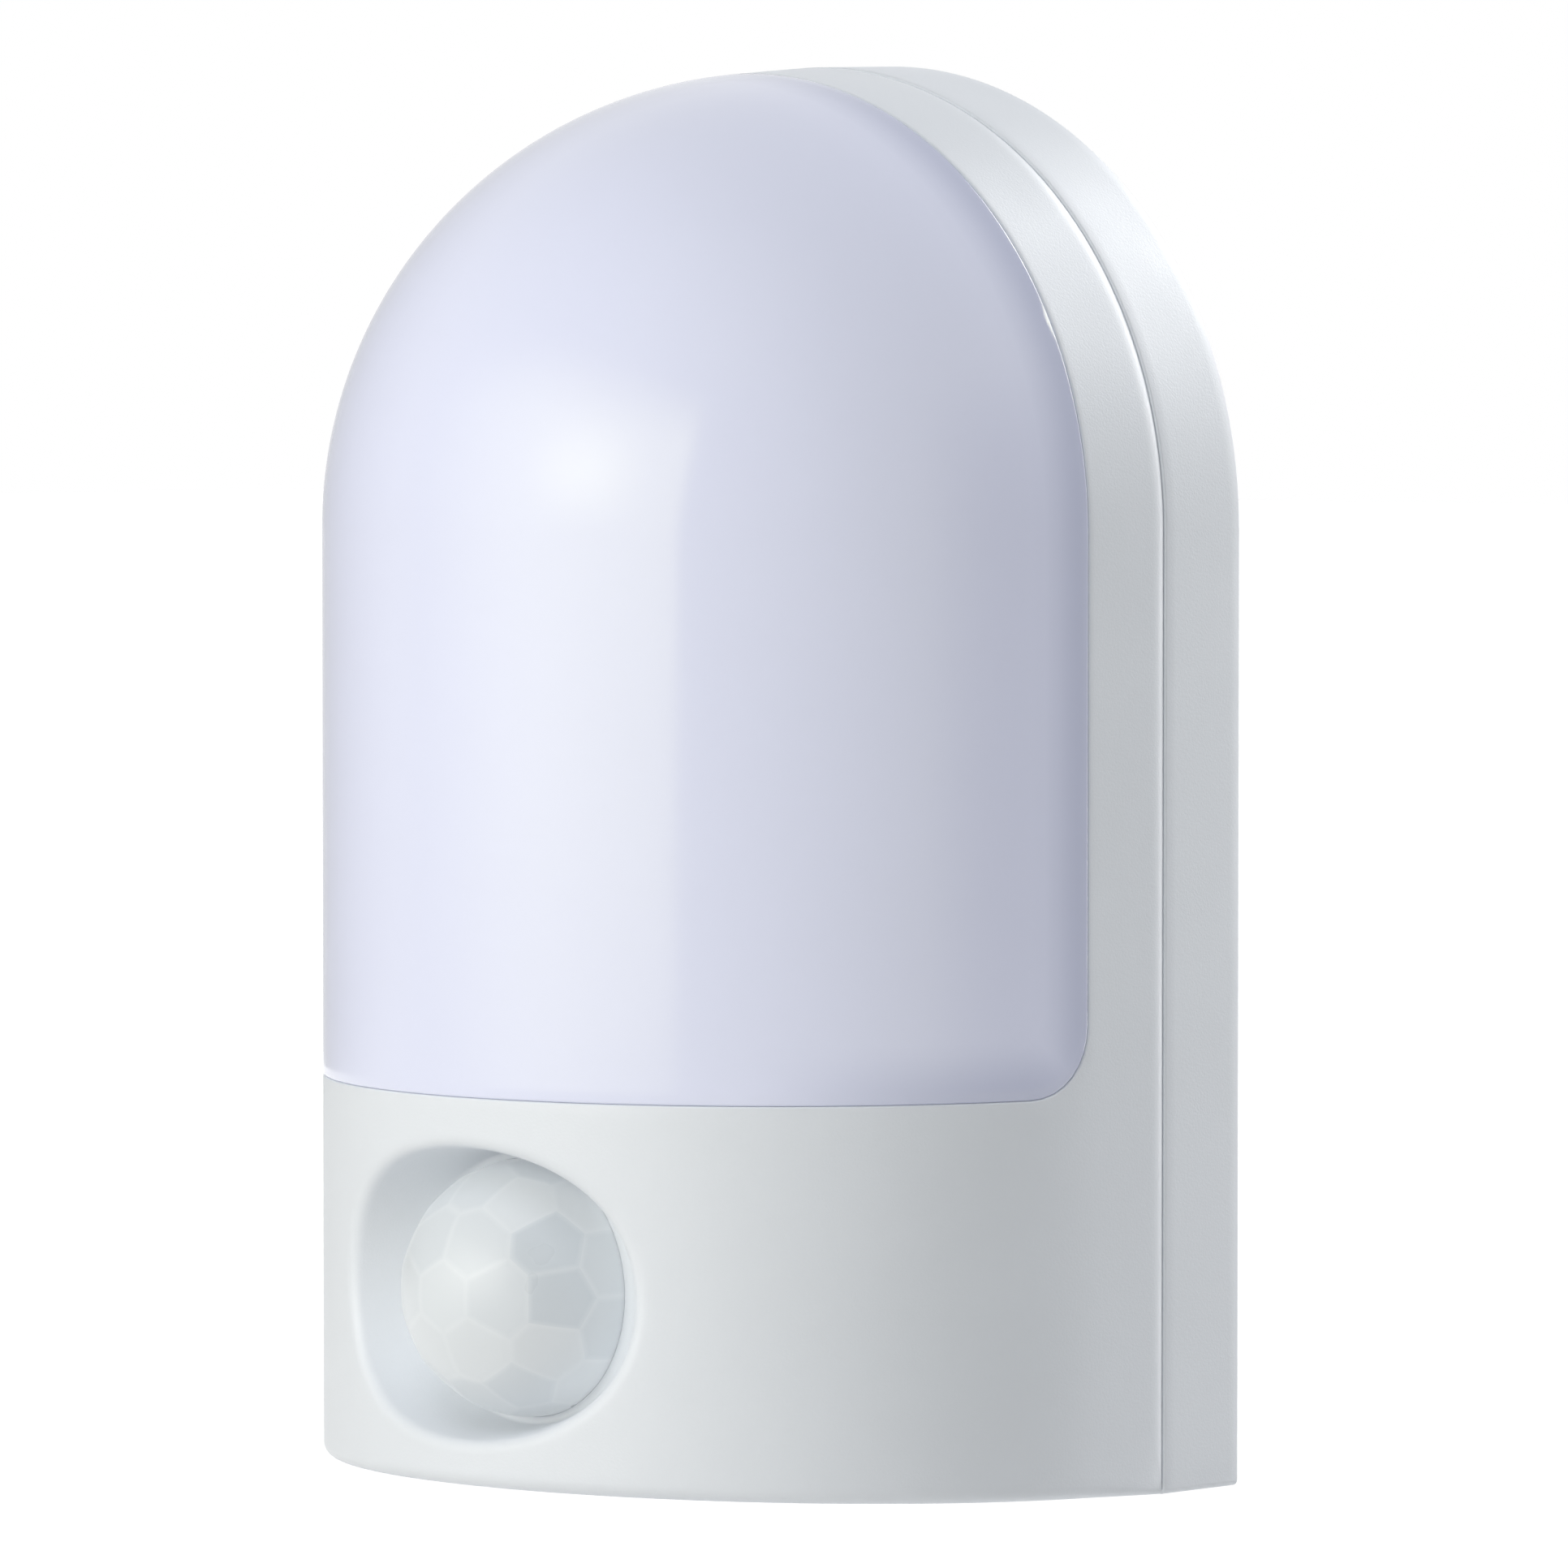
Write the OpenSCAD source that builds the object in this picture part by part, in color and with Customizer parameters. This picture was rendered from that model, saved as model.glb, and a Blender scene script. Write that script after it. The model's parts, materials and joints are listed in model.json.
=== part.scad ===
// Plug in night light with a motion sensor.
// The body is a half barrel with a domed front. It stands on a shallow rear cover that carries the plug.
// Millimetres. +X is right seen from the room, +Y points into the wall and +Z is up.
// The origin is midway between the plug blades, on the rear face.

/* [Body] */
// Width across the rear face
body_width = 60; // [59:0.2:62]
// Height of the body
body_height = 91.1; // [89:0.1:96]
// Depth from the rear face to the front of the barrel
body_depth = 40.4; // [40:0.1:42]
// Width across the barrel, a little under the rear face for draft
barrel_width = 58.8; // [58.4:0.1:59.2]
// Width at the seam between the cover and the housing
seam_width = 59.6; // [59.4:0.1:59.8]
// Depth of the rear cover
cover_depth = 7.1; // [7:0.1:7.5]
// Wall of the housing and of the cover's sides
wall = 1.6; // [1.5:0.1:1.7]
// Thickness of the cover's back
back_wall = 2; // [1.8:0.1:2.2]
// How far the underside rises from the seam to the front
floor_rise = 1.05; // [0:0.05:1.2]

/* [Diffuser] */
// Height of the lit panel's lower edge
sill_height = 25.6; // [25.4:0.1:25.8]
// Depth of the lit panel's side edges
panel_start = 13.9; // [13.8:0.1:14.5]
// Radius of the lit panel's lower corners
panel_corner = 4.5; // [3:0.5:6]
// Thickness of the lit panel
panel_wall = 2; // [1.8:0.1:2.2]
// Width of the lip that hides behind the housing's edge
lip_width = 1.6; // [1.2:0.1:1.6]

/* [Motion sensor] */
// Height of the lens centre
lens_height = 13.2; // [12.8:0.1:13.3]
// Radius of the domed lens
lens_radius = 8.2; // [8:0.1:8.3]
// Depth of the dome's centre
lens_depth = 34.1; // [34:0.1:34.4]
// Wall of the lens
lens_wall = 0.7; // [0.5:0.1:0.9]
// Width of the recess where it breaks the barrel
recess_width = 24.9; // [23:0.1:26]
// Height of the recess where it breaks the barrel
recess_height = 18.5; // [18:0.1:19]

/* [Plug] */
// Height of the plug's centre above the underside
plug_height = 46; // [44:0.5:48]
// Distance between the blades
blade_pitch = 12.7; // [12.7:0.1:12.7]
// Thickness of a blade
blade_thick = 1.5; // [1.4:0.05:1.6]
// Width of a blade
blade_width = 6.3; // [6.2:0.1:6.5]
// Length of a blade outside the rear face
blade_length = 17; // [16:0.5:18]
// Diameter of the hole near a blade's tip
blade_hole = 3.2; // [3:0.1:4]
// Distance of that hole from the rear face
blade_hole_at = 11.9; // [11.5:0.1:12.5]

/* [Mode switch] */
// Height of the switch above the underside
switch_height = 39; // [39:0.5:41]
// Travel of the knob from end to end
switch_travel = 4; // [3:0.5:4]
// How far the knob stands out of the side
thumb_proud = 1.2; // [0.8:0.1:1.6]

/* [Screws] */
// Distance of the case screws from the middle, and from the dome's centre
case_ring = 25; // [25:0.1:25]
// Height of the lower case screws
case_low = 9; // [8:0.5:10]
// Shank diameter of the case screws
case_screw = 2.9; // [2.6:0.1:3]
// Shank diameter of the small screws
small_screw = 2; // [1.8:0.1:2.2]

/* [Hidden] */
$fn = 96;

rear_r = body_width / 2;
seam_r = seam_width / 2;
barrel_r = barrel_width / 2;
barrel_axis = body_depth - barrel_r;
dome_height = body_height - rear_r;
floor_slope = floor_rise / (body_depth - cover_depth);
far = 60;
fit_gap = 0.02;

// Lit panel and what stands behind it
panel_gap = 0.08;
lip_thick = 1.2;
lip_outer_r = barrel_r - wall;
lip_inner_r = lip_outer_r - lip_thick;
lip_inside = 2.5;
plate_depth = 12;
plate_thick = 1.2;
plate_half = lip_inner_r - 0.4;
shelf_gap = 0.1;
shelf_r = lip_inner_r - shelf_gap;
shelf_low = sill_height - plate_thick;
led_board_size = [34, 46];
led_board_thick = 1;
led_board_height = 56;
led_front = plate_depth + plate_thick + led_board_thick;
led_size = [3.5, 2.8, 0.7];
led_x = 8;
led_rows = 4;
led_row_pitch = 11;
led_post_half = 20.5;
led_post_r = 2.2;
led_post_length = 3.2;
led_lead_x = 2.5;
led_lead_height = 58;
led_lead_r = 0.5;

// Ledges inside the housing that carry the reflector plate
ledge_x = 24;
ledge_heights = [27.6, 54];
ledge_size = 4;
ledge_length = 3.8;

// Power board
board_thick = 1.6;
power_back = 6.4;
power_front = power_back + board_thick;
power_half = 20;
power_low = 6;
power_high = 66;
standoff_x = 16.5;
standoff_heights = [22, 62];
standoff_r = 2.8;
standoff_bore_depth = 3.2;

// Parts on the power board, each placed by its x and its height
film_place = [-12.5, 12.5];
film_size = [13, 6];
film_corner = 0.8;
capacitor_tall = 12;
can_place = [11.5, 13.5];
can_r = 4;
can_rim = 1;
can_groove = 0.25;
bridge_place = [-11, 53];
regulator_place = [12.5, 41];
control_place = [9, 30];
chip_corner = 0.2;
lead_thick = 0.5;
lead_reach = 0.8;
fuse_place = [11, 56];
fuse_r = 1.4;
fuse_length = 5.4;
fuse_cap_r = 1.7;
fuse_cap_length = 1.4;
resistor_place = [-13, 26.5];
resistor_size = [1.2, 2, 0.5];
resistor_pitch = 3;
resistor_stagger = 2.6;
resistor_count = 6;

// Motion sensor
lens_flange_r = 9.4;
lens_flange_thick = 0.9;
floor_thick = 1.6;
floor_back = lens_depth - floor_thick;
flange_back = floor_back - lens_flange_thick;
lens_hole_r = lens_radius + 0.15;
recess_base = [9.2, 8.7];
recess_wall = 1.2;
recess_past = 1;
slice_thick = 0.01;
recess_steps = 72;
post_base = 1;
pir_neck = 0.4;
window_size = [4, 3];
window_thick = 0.15;
light_sensor_r = 1.45;
light_sensor_x = 6.3;
light_sensor_height = 2;
sensor_back = 24.4;
sensor_front = sensor_back + board_thick;
sensor_half = 18;
sensor_half_height = 8.5;
sensor_post_x = 15.5;
sensor_post_r = 2.6;
retainer_outer_r = 9.9;
retainer_inner_r = 7.9;
pir_r = 4.6;
pir_height = 4.4;
pir_rim = 0.5;
pir_lead_circle = 2.54;
pir_lead_r = 0.23;
lead_tail = 1;
board_corner = 1.5;
sensor_lead_height = 7.6;
sensor_lead_pitch = 2;
sensor_lead_r = 0.6;

// Mode switch
switch_depth = 9.9;
switch_size = [4.2, 9.6, 3.8];
switch_outer_x = -25;
switch_margin = 0.2;
switch_tab_half = 7;
lever_half = 0.8;
lever_deep = 0.75;
lever_inner_x = -23.6;
lever_outer_x = -26.8;
lever_gap = 0.2;
knob_plate_outer_x = -27.5;
knob_plate_inner_x = -26.3;
knob_hub_inner_x = -25.3;
thumb_half = 2;
thumb_deep = 1.3;
slot_gap = 0.2;
slot_half = thumb_half + switch_travel / 2 + slot_gap;
knob_overlap = 0.1;
knob_plate_half = slot_half + switch_travel / 2 + knob_overlap;
knob_plate_deep = 1.9;
hub_half = 2.2;
hub_deep = 1.7;
thumb_outer_x = -barrel_r - thumb_proud;
grip_pitch = 1.2;
grip_cut = 0.4;

// Plug
plug_opening = [22, 16];
plug_flange = [26, 20];
plug_flange_thick = 1.4;
plug_base_front = back_wall + plug_flange_thick;
blade_x = blade_pitch / 2;
shoulder_width = 9;
tab_width = 3;
tab_end = 9;
tab_gap = 0.1;
tip_chamfer = 0.4;
tip_corner = 1;

// Screws
case_bore_r = case_screw / 2 + fit_gap;
case_head_r = 2.75;
case_head_height = 2;
case_seat = 3.5;
case_length = 8;
case_counterbore_r = 3.1;
cover_post_r = 4;
housing_post_r = 3.6;
low_post_end = 20;
top_post_end = 12;
small_bore_r = small_screw / 2 + fit_gap;
small_head_r = 1.9;
small_head_height = 1.3;
small_length = 4.5;
cross_width = 0.5;
cross_share = 0.65;
bore_spare = 0.4;

case_places = [
    [-case_ring, case_low],
    [case_ring, case_low],
    [0, dome_height + case_ring]
];
ledge_places = [for (side = [-1, 1], h = ledge_heights) [side * ledge_x, h]];
standoff_places = [for (side = [-1, 1], h = standoff_heights) [side * standoff_x, h]];
led_post_places = [for (side = [-1, 1]) [0, led_board_height + side * led_post_half]];
sensor_post_places = [for (side = [-1, 1]) [side * sensor_post_x, lens_height]];

// Stands up a piece that is drawn in the face frame: x to the right, y as height above the
// underside and z as depth out from the rear face.
module stand() {
    rotate([90, 0, 0]) translate([0, -plug_height, 0]) children();
}

// Extrudes a depth and height outline across the width.
module across(width) {
    rotate([0, -90, 0]) linear_extrude(width, center = true) children();
}

module block(low, high) {
    translate(low) cube(high - low);
}

module round_plate(size, corner, thick) {
    linear_extrude(thick) {
        square([size.x - 2 * corner, size.y], center = true);
        square([size.x, size.y - 2 * corner], center = true);
        for (sx = [-1, 1], sy = [-1, 1])
            translate([sx * (size.x / 2 - corner), sy * (size.y / 2 - corner)]) circle(corner);
    }
}

// Half outline of the barrel with its dome, which is turned about the barrel's axis.
module barrel_outline(r, low) {
    intersection() {
        union() {
            translate([0, low]) square([r, dome_height - low]);
            translate([0, dome_height]) circle(r);
        }
        translate([0, low]) square([r, dome_height - low + r]);
    }
}

module turn_front() {
    translate([0, 0, barrel_axis]) rotate([-90, 0, 0]) rotate([0, 0, 180])
        rotate_extrude(angle = 180) children();
}

// Arched slab between two depths, whose half width goes from r1 to r2.
module arch_slab(low, d1, r1, d2, r2) {
    translate([0, low, 0]) rotate([-90, 0, 0]) linear_extrude(dome_height - low)
        polygon([[-r1, -d1], [r1, -d1], [r2, -d2], [-r2, -d2]]);
    intersection() {
        translate([0, dome_height, d1]) cylinder(r1 = r1, r2 = r2, h = d2 - d1);
        block([-far, dome_height, d1], [far, dome_height + far, d2]);
    }
}

module below_floor(lift) {
    across(2 * far) polygon([
        [cover_depth - 2, -far],
        [cover_depth - 2, lift],
        [cover_depth, lift],
        [cover_depth + far, lift + far * floor_slope],
        [cover_depth + far, -far]
    ]);
}

module front_shape(inset) {
    difference() {
        union() {
            turn_front() barrel_outline(barrel_r - inset, inset);
            arch_slab(inset, cover_depth, seam_r - inset, barrel_axis, barrel_r - inset);
        }
        below_floor(inset);
    }
}

// Region of the lit panel seen from the side, grown or shrunk at its edges.
module panel_zone(grow) {
    radius = panel_corner + grow;
    start = panel_start - grow;
    sill = sill_height - grow;
    across(2 * far) {
        translate([start + radius, sill]) square([far, 2 * far]);
        translate([start, sill + radius]) square([far, 2 * far]);
        translate([start + radius, sill + radius]) circle(radius);
    }
}

// Flared recess in front of the lens, from the floor ring out past the barrel.
module recess(grow, back) {
    mouth_x = recess_width / 2;
    mouth_depth = barrel_axis + sqrt(barrel_r * barrel_r - mouth_x * mouth_x);
    front = body_depth + recess_past;
    flare_x = (mouth_x - recess_base.x) / (mouth_depth - lens_depth);
    flare_y = (recess_height / 2 - recess_base.y) / (body_depth - lens_depth);
    flared = recess_base + (front - lens_depth) * [flare_x, flare_y];
    translate([0, lens_height, 0]) hull() {
        translate([0, 0, back]) recess_slice(recess_base, grow);
        translate([0, 0, front]) recess_slice(flared, grow);
    }
}

module recess_slice(half, grow) {
    linear_extrude(slice_thick)
        scale([half.x + grow, half.y + grow]) circle(1, $fn = recess_steps);
}

function post_end(place) = place.x == 0 ? top_post_end : low_post_end;

module screw(shank, length, head_r, head_height) {
    translate([0, 0, -length]) cylinder(d = shank, h = length);
    difference() {
        cylinder(r = head_r, h = head_height);
        for (turn = [0, 90])
            rotate([0, 0, turn]) translate([0, 0, head_height])
                cube([cross_share * 2 * head_r, cross_width, head_height], center = true);
    }
}

module front_housing() {
    color("whitesmoke") stand() difference() {
        union() {
            difference() {
                front_shape(0);
                front_shape(wall);
                arch_slab(wall, cover_depth - 1, seam_r - wall, cover_depth, seam_r - wall);
            }
            intersection() {
                front_shape(wall / 2);
                union() {
                    recess(recess_wall, floor_back);
                    for (p = case_places)
                        translate([p.x, p.y, cover_depth])
                            cylinder(r = housing_post_r, h = post_end(p) - cover_depth);
                    for (p = ledge_places)
                        translate([p.x + sign(p.x) * ledge_size / 2, p.y, plate_depth - ledge_length / 2])
                            cube([2 * ledge_size, ledge_size, ledge_length], center = true);
                    for (p = sensor_post_places)
                        translate([p.x, p.y, sensor_front])
                            cylinder(r = sensor_post_r, h = lens_depth + post_base - sensor_front);
                }
            }
        }
        panel_zone(0);
        recess(0, lens_depth);
        translate([0, lens_height, floor_back - 1]) cylinder(r = lens_hole_r, h = floor_thick + 2);
        switch_box(-far, knob_plate_outer_x, slot_half, thumb_deep + slot_gap);
        for (p = case_places)
            translate([p.x, p.y, 0]) cylinder(r = case_bore_r, h = case_seat + case_length + bore_spare);
        for (p = ledge_places)
            translate([p.x, p.y, 0]) cylinder(r = small_bore_r, h = plate_depth + plate_thick);
        for (p = sensor_post_places)
            translate([p.x, p.y, sensor_back])
                cylinder(r = small_bore_r, h = small_length + bore_spare);
    }
}

module diffuser() {
    color("lavender") stand() union() {
        intersection() {
            turn_front() difference() {
                barrel_outline(barrel_r, wall);
                barrel_outline(barrel_r - panel_wall, wall);
            }
            panel_zone(-panel_gap);
        }
        difference() {
            intersection() {
                turn_front() difference() {
                    barrel_outline(lip_outer_r, wall);
                    barrel_outline(lip_inner_r, wall);
                }
                panel_zone(lip_width);
            }
            panel_zone(-lip_inside);
        }
    }
}

module rear_cover() {
    inner_r = rear_r - wall - (rear_r - seam_r) * back_wall / cover_depth;
    color("gainsboro") stand() difference() {
        union() {
            difference() {
                arch_slab(0, 0, rear_r, cover_depth, seam_r);
                arch_slab(wall, back_wall, inner_r, cover_depth, seam_r - wall);
                arch_slab(wall, cover_depth, seam_r - wall, cover_depth + 1, seam_r - wall);
            }
            intersection() {
                arch_slab(0, 0, rear_r - wall / 2, cover_depth, seam_r - wall / 2);
                for (p = case_places)
                    translate([p.x, p.y, 0]) cylinder(r = cover_post_r, h = cover_depth);
            }
            for (p = standoff_places)
                translate([p.x, p.y, back_wall / 2]) cylinder(r = standoff_r, h = power_back - back_wall / 2);
        }
        for (p = case_places) {
            translate([p.x, p.y, -1]) cylinder(r = case_counterbore_r, h = case_seat + 1);
            translate([p.x, p.y, -1]) cylinder(r = case_screw / 2 + slot_gap, h = cover_depth + 2);
        }
        for (p = standoff_places)
            translate([p.x, p.y, standoff_bore_depth]) cylinder(r = small_bore_r, h = power_back);
        translate([0, plug_height, -1]) linear_extrude(back_wall + 2) square(plug_opening, center = true);
    }
}

module pir_lens() {
    color("white") stand() translate([0, lens_height, 0]) difference() {
        union() {
            translate([0, 0, flange_back]) cylinder(r = lens_flange_r, h = lens_flange_thick);
            translate([0, 0, flange_back]) cylinder(r = lens_radius, h = lens_depth - flange_back);
            translate([0, 0, lens_depth]) intersection() {
                sphere(lens_radius);
                cylinder(r = lens_radius + 1, h = lens_radius + 1);
            }
        }
        translate([0, 0, flange_back - 1])
            cylinder(r = lens_radius - lens_wall, h = lens_depth - flange_back + 1);
        translate([0, 0, lens_depth]) sphere(lens_radius - lens_wall);
    }
}

module lens_retainer() {
    color("white") stand() translate([0, lens_height, sensor_front]) difference() {
        cylinder(r = retainer_outer_r, h = flange_back - sensor_front);
        translate([0, 0, -1]) cylinder(r = retainer_inner_r, h = flange_back - sensor_front + 2);
    }
}

module sensor_board() {
    color("darkgreen") stand() translate([0, lens_height, sensor_back]) difference() {
        round_plate([2 * sensor_half, 2 * sensor_half_height], board_corner, board_thick);
        for (side = [-1, 1])
            translate([side * sensor_post_x, 0, -1]) cylinder(r = small_bore_r, h = board_thick + 2);
        for (turn = [0, 90, 180])
            rotate([0, 0, turn]) translate([pir_lead_circle, 0, -1])
                cylinder(r = pir_lead_r + fit_gap, h = board_thick + 2);
    }
}

module pir_sensor() {
    color("silver") stand() translate([0, lens_height, sensor_front]) union() {
        cylinder(r = pir_r, h = pir_rim);
        cylinder(r = pir_r - pir_neck, h = pir_height);
    }
}

module pir_window() {
    color("dimgray") stand() translate([0, lens_height, sensor_front + pir_height])
        round_plate(window_size, chip_corner, window_thick);
}

module pir_leads() {
    color("silver") stand() translate([0, lens_height, sensor_front]) for (turn = [0, 90, 180])
        rotate([0, 0, turn]) translate([pir_lead_circle, 0, -board_thick - lead_tail])
            cylinder(r = pir_lead_r, h = board_thick + lead_tail);
}

module light_sensor() {
    color("whitesmoke") stand() translate([light_sensor_x, lens_height, sensor_front]) union() {
        cylinder(r = light_sensor_r, h = light_sensor_height);
        translate([0, 0, light_sensor_height]) intersection() {
            sphere(light_sensor_r);
            cylinder(r = 2 * light_sensor_r, h = 2 * light_sensor_r);
        }
    }
}

module sensor_leads() {
    color("firebrick") stand() for (i = [-1.5:1:1.5])
        translate([i * sensor_lead_pitch, sensor_lead_height, power_front])
            cylinder(r = sensor_lead_r, h = sensor_back - power_front);
}

module reflector_plate() {
    color("white") stand() difference() {
        union() {
            translate([0, 0, plate_depth]) linear_extrude(plate_thick) {
                translate([-plate_half, shelf_low]) square([2 * plate_half, dome_height - shelf_low]);
                translate([0, dome_height]) circle(plate_half);
            }
            intersection() {
                translate([0, shelf_low, barrel_axis]) rotate([-90, 0, 0])
                    cylinder(r = shelf_r, h = plate_thick);
                block([-far, 0, plate_depth], [far, far, far]);
            }
            for (p = led_post_places)
                translate([p.x, p.y, plate_depth - led_post_length])
                    cylinder(r = led_post_r, h = led_post_length + plate_thick / 2);
        }
        for (p = concat(ledge_places, led_post_places))
            translate([p.x, p.y, 0]) cylinder(r = small_bore_r, h = body_depth / 2);
        for (side = [-1, 1])
            translate([side * led_lead_x, led_lead_height, 0])
                cylinder(r = led_lead_r + slot_gap, h = body_depth / 2);
    }
}

module led_board() {
    color("white") stand() translate([0, led_board_height, plate_depth + plate_thick]) difference() {
        round_plate(led_board_size, 2 * board_corner, led_board_thick);
        for (side = [-1, 1])
            translate([0, side * led_post_half, -1]) cylinder(r = small_bore_r, h = led_board_thick + 2);
    }
}

module leds() {
    color("lemonchiffon") stand() for (side = [-1, 1], row = [0:led_rows - 1])
        translate([
            side * led_x,
            led_board_height + (row - (led_rows - 1) / 2) * led_row_pitch,
            led_front + led_size.z / 2
        ]) cube(led_size, center = true);
}

module led_leads() {
    color("firebrick") stand() for (side = [-1, 1])
        translate([side * led_lead_x, led_lead_height, power_front])
            cylinder(r = led_lead_r, h = plate_depth + plate_thick - power_front);
}

module power_board() {
    color("darkgreen") stand() difference() {
        union() {
            block([-power_half, power_low, power_back], [power_half, power_high, power_front]);
            block(
                [switch_outer_x - switch_margin, switch_height - switch_tab_half, power_back],
                [0, switch_height + switch_tab_half, power_front]
            );
        }
        for (p = standoff_places)
            translate([p.x, p.y, 0]) cylinder(r = small_bore_r, h = body_depth / 2);
        for (side = [-1, 1])
            translate([side * blade_x, plug_height, power_back])
                cube([blade_thick + 2 * tab_gap, tab_width + 2 * tab_gap, 4 * board_thick], center = true);
    }
}

module film_capacitor() {
    color("goldenrod") stand() translate([film_place.x, film_place.y, power_front])
        round_plate(film_size, film_corner, capacitor_tall);
}

module electrolytic_capacitor() {
    color("midnightblue") stand() translate([can_place.x, can_place.y, power_front]) union() {
        cylinder(r = can_r, h = can_rim);
        cylinder(r = can_r - can_groove, h = capacitor_tall);
        translate([0, 0, 2 * can_rim]) cylinder(r = can_r, h = capacitor_tall - 2 * can_rim);
    }
}

// Moulded chip on the power board with a row of flat leads along each named side.
module chip(place, size, tall, lead_count, lead_pitch, lead_width, sides) {
    translate([place.x, place.y, power_front]) {
        translate([0, 0, lead_thick / 2]) round_plate(size, chip_corner, tall);
        for (side = sides, i = [0:lead_count - 1])
            translate([
                (i - (lead_count - 1) / 2) * lead_pitch,
                side * (size.y + lead_reach) / 2,
                lead_thick / 2
            ]) cube([lead_width, 2 * lead_reach, lead_thick], center = true);
    }
}

module bridge_rectifier() {
    color("dimgray") stand() chip(bridge_place, [4.7, 4], 2.4, 2, 2.6, 0.6, [-1, 1]);
}

module voltage_regulator() {
    color("dimgray") stand() chip(regulator_place, [4.5, 2.5], 1.4, 3, 1.5, 0.5, [-1]);
}

module control_chip() {
    color("dimgray") stand() chip(control_place, [5, 4], 1.5, 4, 1.27, 0.4, [-1, 1]);
}

module fuse_resistor() {
    color("tan") stand() translate([fuse_place.x, fuse_place.y, power_front + fuse_cap_r])
        rotate([0, 90, 0]) union() {
            cylinder(r = fuse_r, h = fuse_length, center = true);
            for (side = [-1, 1])
                translate([0, 0, side * fuse_length / 2])
                    cylinder(r = fuse_cap_r, h = fuse_cap_length, center = true);
        }
}

module chip_resistors() {
    color("black") stand() for (i = [0:resistor_count - 1])
        translate([
            resistor_place.x + resistor_pitch * i,
            resistor_place.y + resistor_stagger * (i % 2),
            power_front + resistor_size.z / 2
        ]) cube(resistor_size, center = true);
}

// Box centred on the switch, between two x values, with half its height and half its depth.
module switch_box(x1, x2, half_height, half_deep) {
    block(
        [x1, switch_height - half_height, switch_depth - half_deep],
        [x2, switch_height + half_height, switch_depth + half_deep]
    );
}

module switch_body() {
    color("silver") stand() difference() {
        switch_box(switch_outer_x, switch_outer_x + switch_size.x, switch_size.y / 2, switch_size.z / 2);
        switch_box(
            switch_outer_x - 1,
            lever_inner_x + lever_gap,
            lever_half + switch_travel / 2 + lever_gap,
            lever_deep + lever_gap
        );
    }
}

module switch_lever() {
    color("black") stand() switch_box(lever_outer_x, lever_inner_x, lever_half, lever_deep);
}

module mode_knob() {
    color("whitesmoke") stand() difference() {
        union() {
            switch_box(knob_plate_outer_x, knob_plate_inner_x, knob_plate_half, knob_plate_deep);
            switch_box(knob_plate_inner_x, knob_hub_inner_x, hub_half, hub_deep);
            switch_box(thumb_outer_x, knob_plate_outer_x, thumb_half, thumb_deep);
        }
        switch_box(lever_outer_x, 0, lever_half, lever_deep);
        for (i = [-1:1])
            translate([thumb_outer_x, switch_height + i * grip_pitch, switch_depth]) rotate([0, 0, 45])
                cube([grip_cut, grip_cut, 4 * thumb_deep], center = true);
    }
}

module plug_base() {
    color("whitesmoke") stand() translate([0, plug_height, 0]) difference() {
        union() {
            linear_extrude(plug_base_front) square(plug_opening, center = true);
            translate([0, 0, back_wall]) linear_extrude(plug_base_front - back_wall)
                square(plug_flange, center = true);
        }
        for (side = [-1, 1])
            translate([side * blade_x, 0, 0])
                cube([blade_thick, blade_width, 4 * plug_base_front], center = true);
    }
}

// Blade seen from its side: the tip with cut corners, the shoulder behind the base and the solder tab.
module blade(side) {
    color("goldenrod") stand() translate([side * blade_x, plug_height, 0]) difference() {
        across(blade_thick) {
            polygon([
                [plug_base_front, -blade_width / 2],
                [plug_base_front, blade_width / 2],
                [tip_corner - blade_length, blade_width / 2],
                [-blade_length, blade_width / 2 - tip_corner],
                [-blade_length, tip_corner - blade_width / 2],
                [tip_corner - blade_length, -blade_width / 2]
            ]);
            translate([plug_base_front, -shoulder_width / 2])
                square([power_back - plug_base_front, shoulder_width]);
            translate([power_back, -tab_width / 2]) square([tab_end - power_back, tab_width]);
        }
        translate([0, 0, -blade_hole_at]) rotate([0, 90, 0])
            cylinder(d = blade_hole, h = 4 * blade_thick, center = true);
        for (face = [-1, 1])
            translate([face * blade_thick / 2, 0, -blade_length]) rotate([0, 45, 0])
                cube([tip_chamfer, 2 * blade_width, tip_chamfer], center = true);
    }
}

module plug_blade_left() {
    blade(-1);
}

module plug_blade_right() {
    blade(1);
}

module case_screws() {
    color("silver") stand() for (p = case_places)
        translate([p.x, p.y, case_seat]) rotate([180, 0, 0])
            screw(case_screw, case_length, case_head_r, case_head_height);
}

module small_screws() {
    color("silver") stand() {
        for (p = standoff_places)
            translate([p.x, p.y, power_front]) small();
        for (p = ledge_places)
            translate([p.x, p.y, plate_depth + plate_thick]) small();
        for (p = led_post_places)
            translate([p.x, p.y, led_front]) small();
        for (p = sensor_post_places)
            translate([p.x, p.y, sensor_back]) rotate([180, 0, 0]) small();
    }
}

module small() {
    screw(small_screw, small_length, small_head_r, small_head_height);
}

front_housing();
diffuser();
rear_cover();
pir_lens();
lens_retainer();
sensor_board();
pir_sensor();
pir_window();
pir_leads();
light_sensor();
sensor_leads();
reflector_plate();
led_board();
leds();
led_leads();
power_board();
film_capacitor();
electrolytic_capacitor();
bridge_rectifier();
fuse_resistor();
voltage_regulator();
control_chip();
chip_resistors();
switch_body();
switch_lever();
mode_knob();
plug_base();
plug_blade_left();
plug_blade_right();
case_screws();
small_screws();
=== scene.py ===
import itertools
import json
import math

import bmesh
import bpy
from mathutils import Matrix, Vector


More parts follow.
